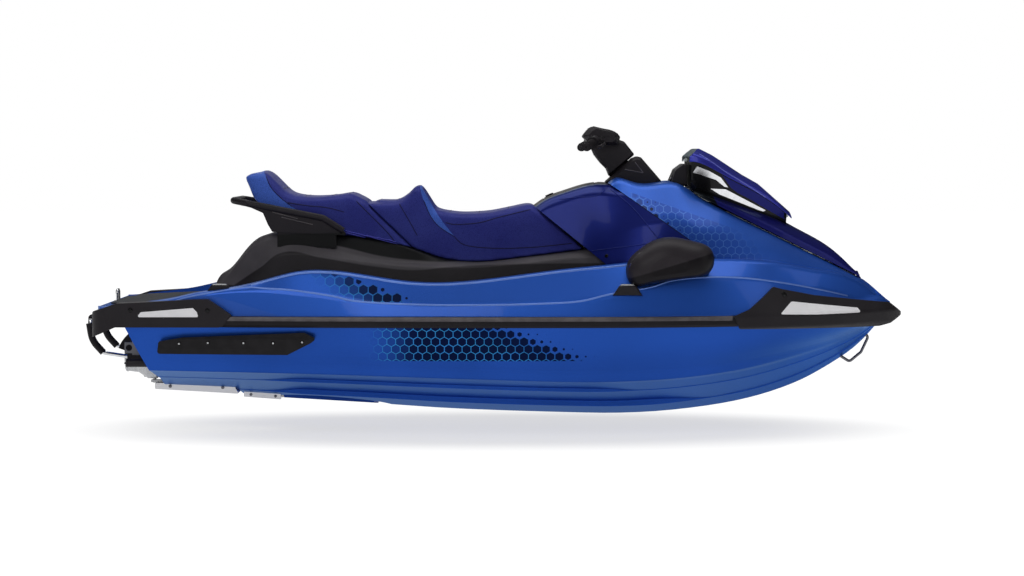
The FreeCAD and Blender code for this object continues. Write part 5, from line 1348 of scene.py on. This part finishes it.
def make_cleat_bars(settings):
    """A bright bar in each mooring cleat."""
    bars = []
    tree = surface("cleats")
    for x, y in ((-1090.0, -492.0), (531.0, -558.0)):
        a, b = from_above(tree, x - 30, y, 1.0)[0], from_above(tree, x + 34, y, 1.0)[0]
        shifts = ((a, 0, -9), (a, 6, 2), (b, -6, 2), (b, 0, -9))
        bars.append(rod([at + Vector((ahead, 0, up)) for at, ahead, up in shifts], 4.0, 10, bend=8))
    place("cleat_bars", both_sides(*bars), "stainless")


# Stage.
CAMERA_AT = (0.075, -11.0, 0.838)
CAMERA_AIM = (0.075, 0.0, 0.275)
WHITE = (1, 1, 1, 1)


def facing(at, aim):
    """The rotation of a lamp or camera that looks at a point."""
    return (Vector(aim) - Vector(at)).to_track_quat("-Z", "Y").to_euler()


def lamp(name, at, aim, size, watts):
    light = bpy.data.lights.new(name, "AREA")
    light.shape = "RECTANGLE"
    light.size, light.size_y = size
    light.energy = watts
    obj = bpy.data.objects.new(name, light)
    obj.location = at
    obj.rotation_euler = facing(at, aim)
    bpy.context.scene.collection.objects.link(obj)


def floor_material(glow):
    """White studio floor: it shows the boat's shadow near it and is even white further out."""
    material, tree, shader, at = start_material("Studio floor")
    tree.nodes.remove(shader)
    path = add(tree, "LightPath")
    seen = math_node(tree, "MAXIMUM", path.outputs["Is Camera Ray"], path.outputs["Is Glossy Ray"])
    seen = math_node(tree, "MAXIMUM", seen, path.outputs["Is Transmission Ray"])
    flat = vector_node(tree, "MULTIPLY", {0: at, 1: (0.5, 1.0, 0)})
    away = vector_node(tree, "LENGTH", {0: flat}, "Value")
    part = math_node(tree, "MULTIPLY", seen, ramp(tree, away, glow, 1.0, 0.5, 1.1))
    matt = add(tree, "BsdfDiffuse", {"Color": (0.93, 0.93, 0.94, 1)})
    white = add(tree, "Emission", {"Color": WHITE, "Strength": 1.08})
    mixed = add(tree, "MixShader", {0: part, 1: matt.outputs[0], 2: white.outputs[0]})
    tree.links.new(mixed.outputs[0], tree.nodes["Material Output"].inputs[0])
    return material


def make_world(level):
    """White where the camera looks, and a soft glow from above for the boat."""
    world = bpy.data.worlds.new("Studio")
    bpy.context.scene.world = world
    world.use_nodes = True
    tree = world.node_tree
    tree.nodes.clear()
    path = add(tree, "LightPath").outputs
    seen = math_node(tree, "MAXIMUM", path["Is Camera Ray"], path["Is Transmission Ray"])
    up = split(tree, add(tree, "TexCoord").outputs["Generated"])["Z"]
    strength = ramp(tree, up, 0.03, level, 0.42, 0.95)
    room = add(tree, "Background", {"Color": WHITE, "Strength": strength})
    white = add(tree, "Background", {"Color": WHITE, "Strength": 1.0})
    mixed = add(tree, "MixShader", {0: seen, 1: room.outputs[0], 2: white.outputs[0]})
    out = add(tree, "OutputWorld")
    tree.links.new(mixed.outputs[0], out.inputs[0])


def make_stage(settings):
    """Floor, soft boxes and camera."""
    bm = bmesh.new()
    bmesh.ops.create_grid(bm, x_segments=1, y_segments=1, size=40)
    bmesh.ops.translate(bm, verts=bm.verts, vec=(0, 0, settings.floor_height))
    mesh = new_mesh("studio_floor", bm)
    mesh.materials.append(floor_material(settings.floor_glow))
    floor = bpy.data.objects.new("studio_floor", mesh)
    bpy.context.scene.collection.objects.link(floor)
    make_world(settings.room_light)
    lamp("top_box", (0.1, 0.3, 4.2), (0, 0, 0), (6.5, 2.2), settings.top_light)
    lamp("key_box", (-2.2, -5.5, 3.4), (0, 0, 0.2), (5.0, 2.4), settings.key_light)
    lamp("bow_box", (5.5, -2.5, 2.4), (0.6, 0, 0.3), (2.2, 3.0), settings.side_light)
    lamp("back_box", (-1.5, 5.0, 2.6), (0, 0, 0.2), (5.0, 2.0), settings.side_light)
    camera = bpy.data.cameras.new("camera")
    camera.lens = settings.focal_length
    camera.sensor_width = 36.0
    camera.clip_end = 200.0
    obj = bpy.data.objects.new("camera", camera)
    obj.location = CAMERA_AT
    obj.rotation_euler = facing(CAMERA_AT, CAMERA_AIM)
    bpy.context.scene.collection.objects.link(obj)
    bpy.context.scene.camera = obj
    bpy.context.scene.view_settings.view_transform = "Standard"


def dress_nodes(settings):
    """Gives every CAD node its finish."""
    make_materials(settings)
    for name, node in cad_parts.items():
        node.data.materials.clear()
        node.data.materials.append(FINISHES[NODE_FINISH.get(name, "black_plastic")])


# Settings, operators and the sidebar panel.
def amount(label, about, default, **limits):
    return bpy.props.FloatProperty(name=label, description=about, default=default, **limits)


def colour(label, about, default):
    return bpy.props.FloatVectorProperty(
        name=label, description=about, default=default, subtype="COLOR", size=4, min=0.0, max=1.0)


class WatercraftSettings(bpy.types.PropertyGroup):
    """What a user may set before the boat is built."""
    hull_colour: colour("Hull colour", "Gel coat colour of the hull", HULL_BLUE)
    deck_colour: colour("Deck colour", "Gel coat colour of deck and cowl", DECK_BLUE)
    simulate: bpy.props.BoolProperty(
        name="Fill the cushions", description="Run the cloth simulation that fills the seats",
        default=True)
    cushion_voxel: amount("Cushion mesh", "Mesh size of the cushions before smoothing", 0.009,
                          min=0.004, max=0.03, unit="LENGTH")
    cushion_pressure: amount("Cushion pressure", "Pressure that fills the cushions", 4.0,
                             min=0.0, max=20.0)
    cushion_start: amount("Cushion start", "How much smaller a cushion starts", 0.004,
                          min=0.0, max=0.02, unit="LENGTH")
    cushion_cap: amount("Cushion limit", "How far a cushion's cover may move", 0.006,
                        min=0.0, max=0.03, unit="LENGTH")
    floor_height: amount("Floor height", "Height of the studio floor over the waterline",
                         -0.312, unit="LENGTH")
    floor_glow: amount("Floor glow", "Share of the floor's white that no shadow darkens", 0.6,
                       min=0.0, max=1.0, subtype="FACTOR")
    room_light: amount("Room light", "Brightness of the room overhead", 0.30, min=0.0, max=5.0)
    top_light: amount("Top light", "Power of the box overhead", 95.0, min=0.0, unit="POWER")
    key_light: amount("Key light", "Power of the box beside the camera", 120.0,
                      min=0.0, unit="POWER")
    side_light: amount("Side light", "Power of the boxes ahead and behind", 28.0,
                       min=0.0, unit="POWER")
    focal_length: amount("Focal length", "The camera's focal length in millimetres", 92.97,
                         min=10.0, max=500.0)


def step(name, label, about, *makers):
    """An operator that runs these makers with the scene's settings."""
    def execute(self, context):
        for make in makers:
            make(context.scene.watercraft)
        return {"FINISHED"}
    return type("WATERCRAFT_OT_" + name, (bpy.types.Operator,), {
        "__doc__": about, "bl_idname": "watercraft." + name, "bl_label": label,
        "execute": execute})


STEPS = (
    step("stage", "Studio", "Builds the studio: floor, lights and camera", make_stage),
    step("finishes", "Finishes", "Makes the materials and gives the solids theirs", dress_nodes),
    step("seats", "Seats", "Builds both padded seats with their piping", make_seats),
    # This step fills the gaps between seats and covers with black as painted shade, and lays the
    # rubber bead under the hood.
    step("gaskets", "Gaskets", "Builds the rubber lips between the mouldings", make_gap_shade_and_seal),
    step("steering", "Steering", "Builds the steering boot, grips and buttons", make_steering),
    step("console", "Console", "Builds the glovebox latch and the display's marks", make_console),
    step("visor", "Visor", "Builds the panels on the visor's flanks", make_visor),
    # The rail strips and the deck's beads that this step builds are painted highlights.
    step("trim", "Trim", "Builds rail strips, beads, screws, handle ribs and cleat bars",
         make_rail_highlights, make_beads, make_sleeves, make_screws, make_handle_ribs,
         make_cleat_bars),
    step("jet", "Jet and stern", "Builds the small fittings of the jet unit and the stern",
         make_jet_fittings, make_stern_fittings),
)


class WATERCRAFT_PT_panel(bpy.types.Panel):
    bl_label = "Watercraft"
    bl_idname = "WATERCRAFT_PT_panel"
    bl_space_type = "VIEW_3D"
    bl_region_type = "UI"
    bl_category = "Watercraft"

    def draw(self, context):
        layout = self.layout
        settings = context.scene.watercraft
        for name in WatercraftSettings.__annotations__:
            layout.prop(settings, name)
        for operator in STEPS:
            layout.operator(operator.bl_idname)


CLASSES = (WatercraftSettings, *STEPS, WATERCRAFT_PT_panel)


def register():
    for each in CLASSES:
        bpy.utils.register_class(each)
    bpy.types.Scene.watercraft = bpy.props.PointerProperty(type=WatercraftSettings)


def unregister():
    del bpy.types.Scene.watercraft
    for each in reversed(CLASSES):
        bpy.utils.unregister_class(each)


def main():
    register()
    bpy.ops.watercraft.stage()
    bpy.ops.watercraft.finishes()
    bpy.ops.watercraft.seats()
    bpy.ops.watercraft.gaskets()
    bpy.ops.watercraft.steering()
    bpy.ops.watercraft.console()
    bpy.ops.watercraft.visor()
    bpy.ops.watercraft.trim()
    bpy.ops.watercraft.jet()


if __name__ == "__main__":
    main()
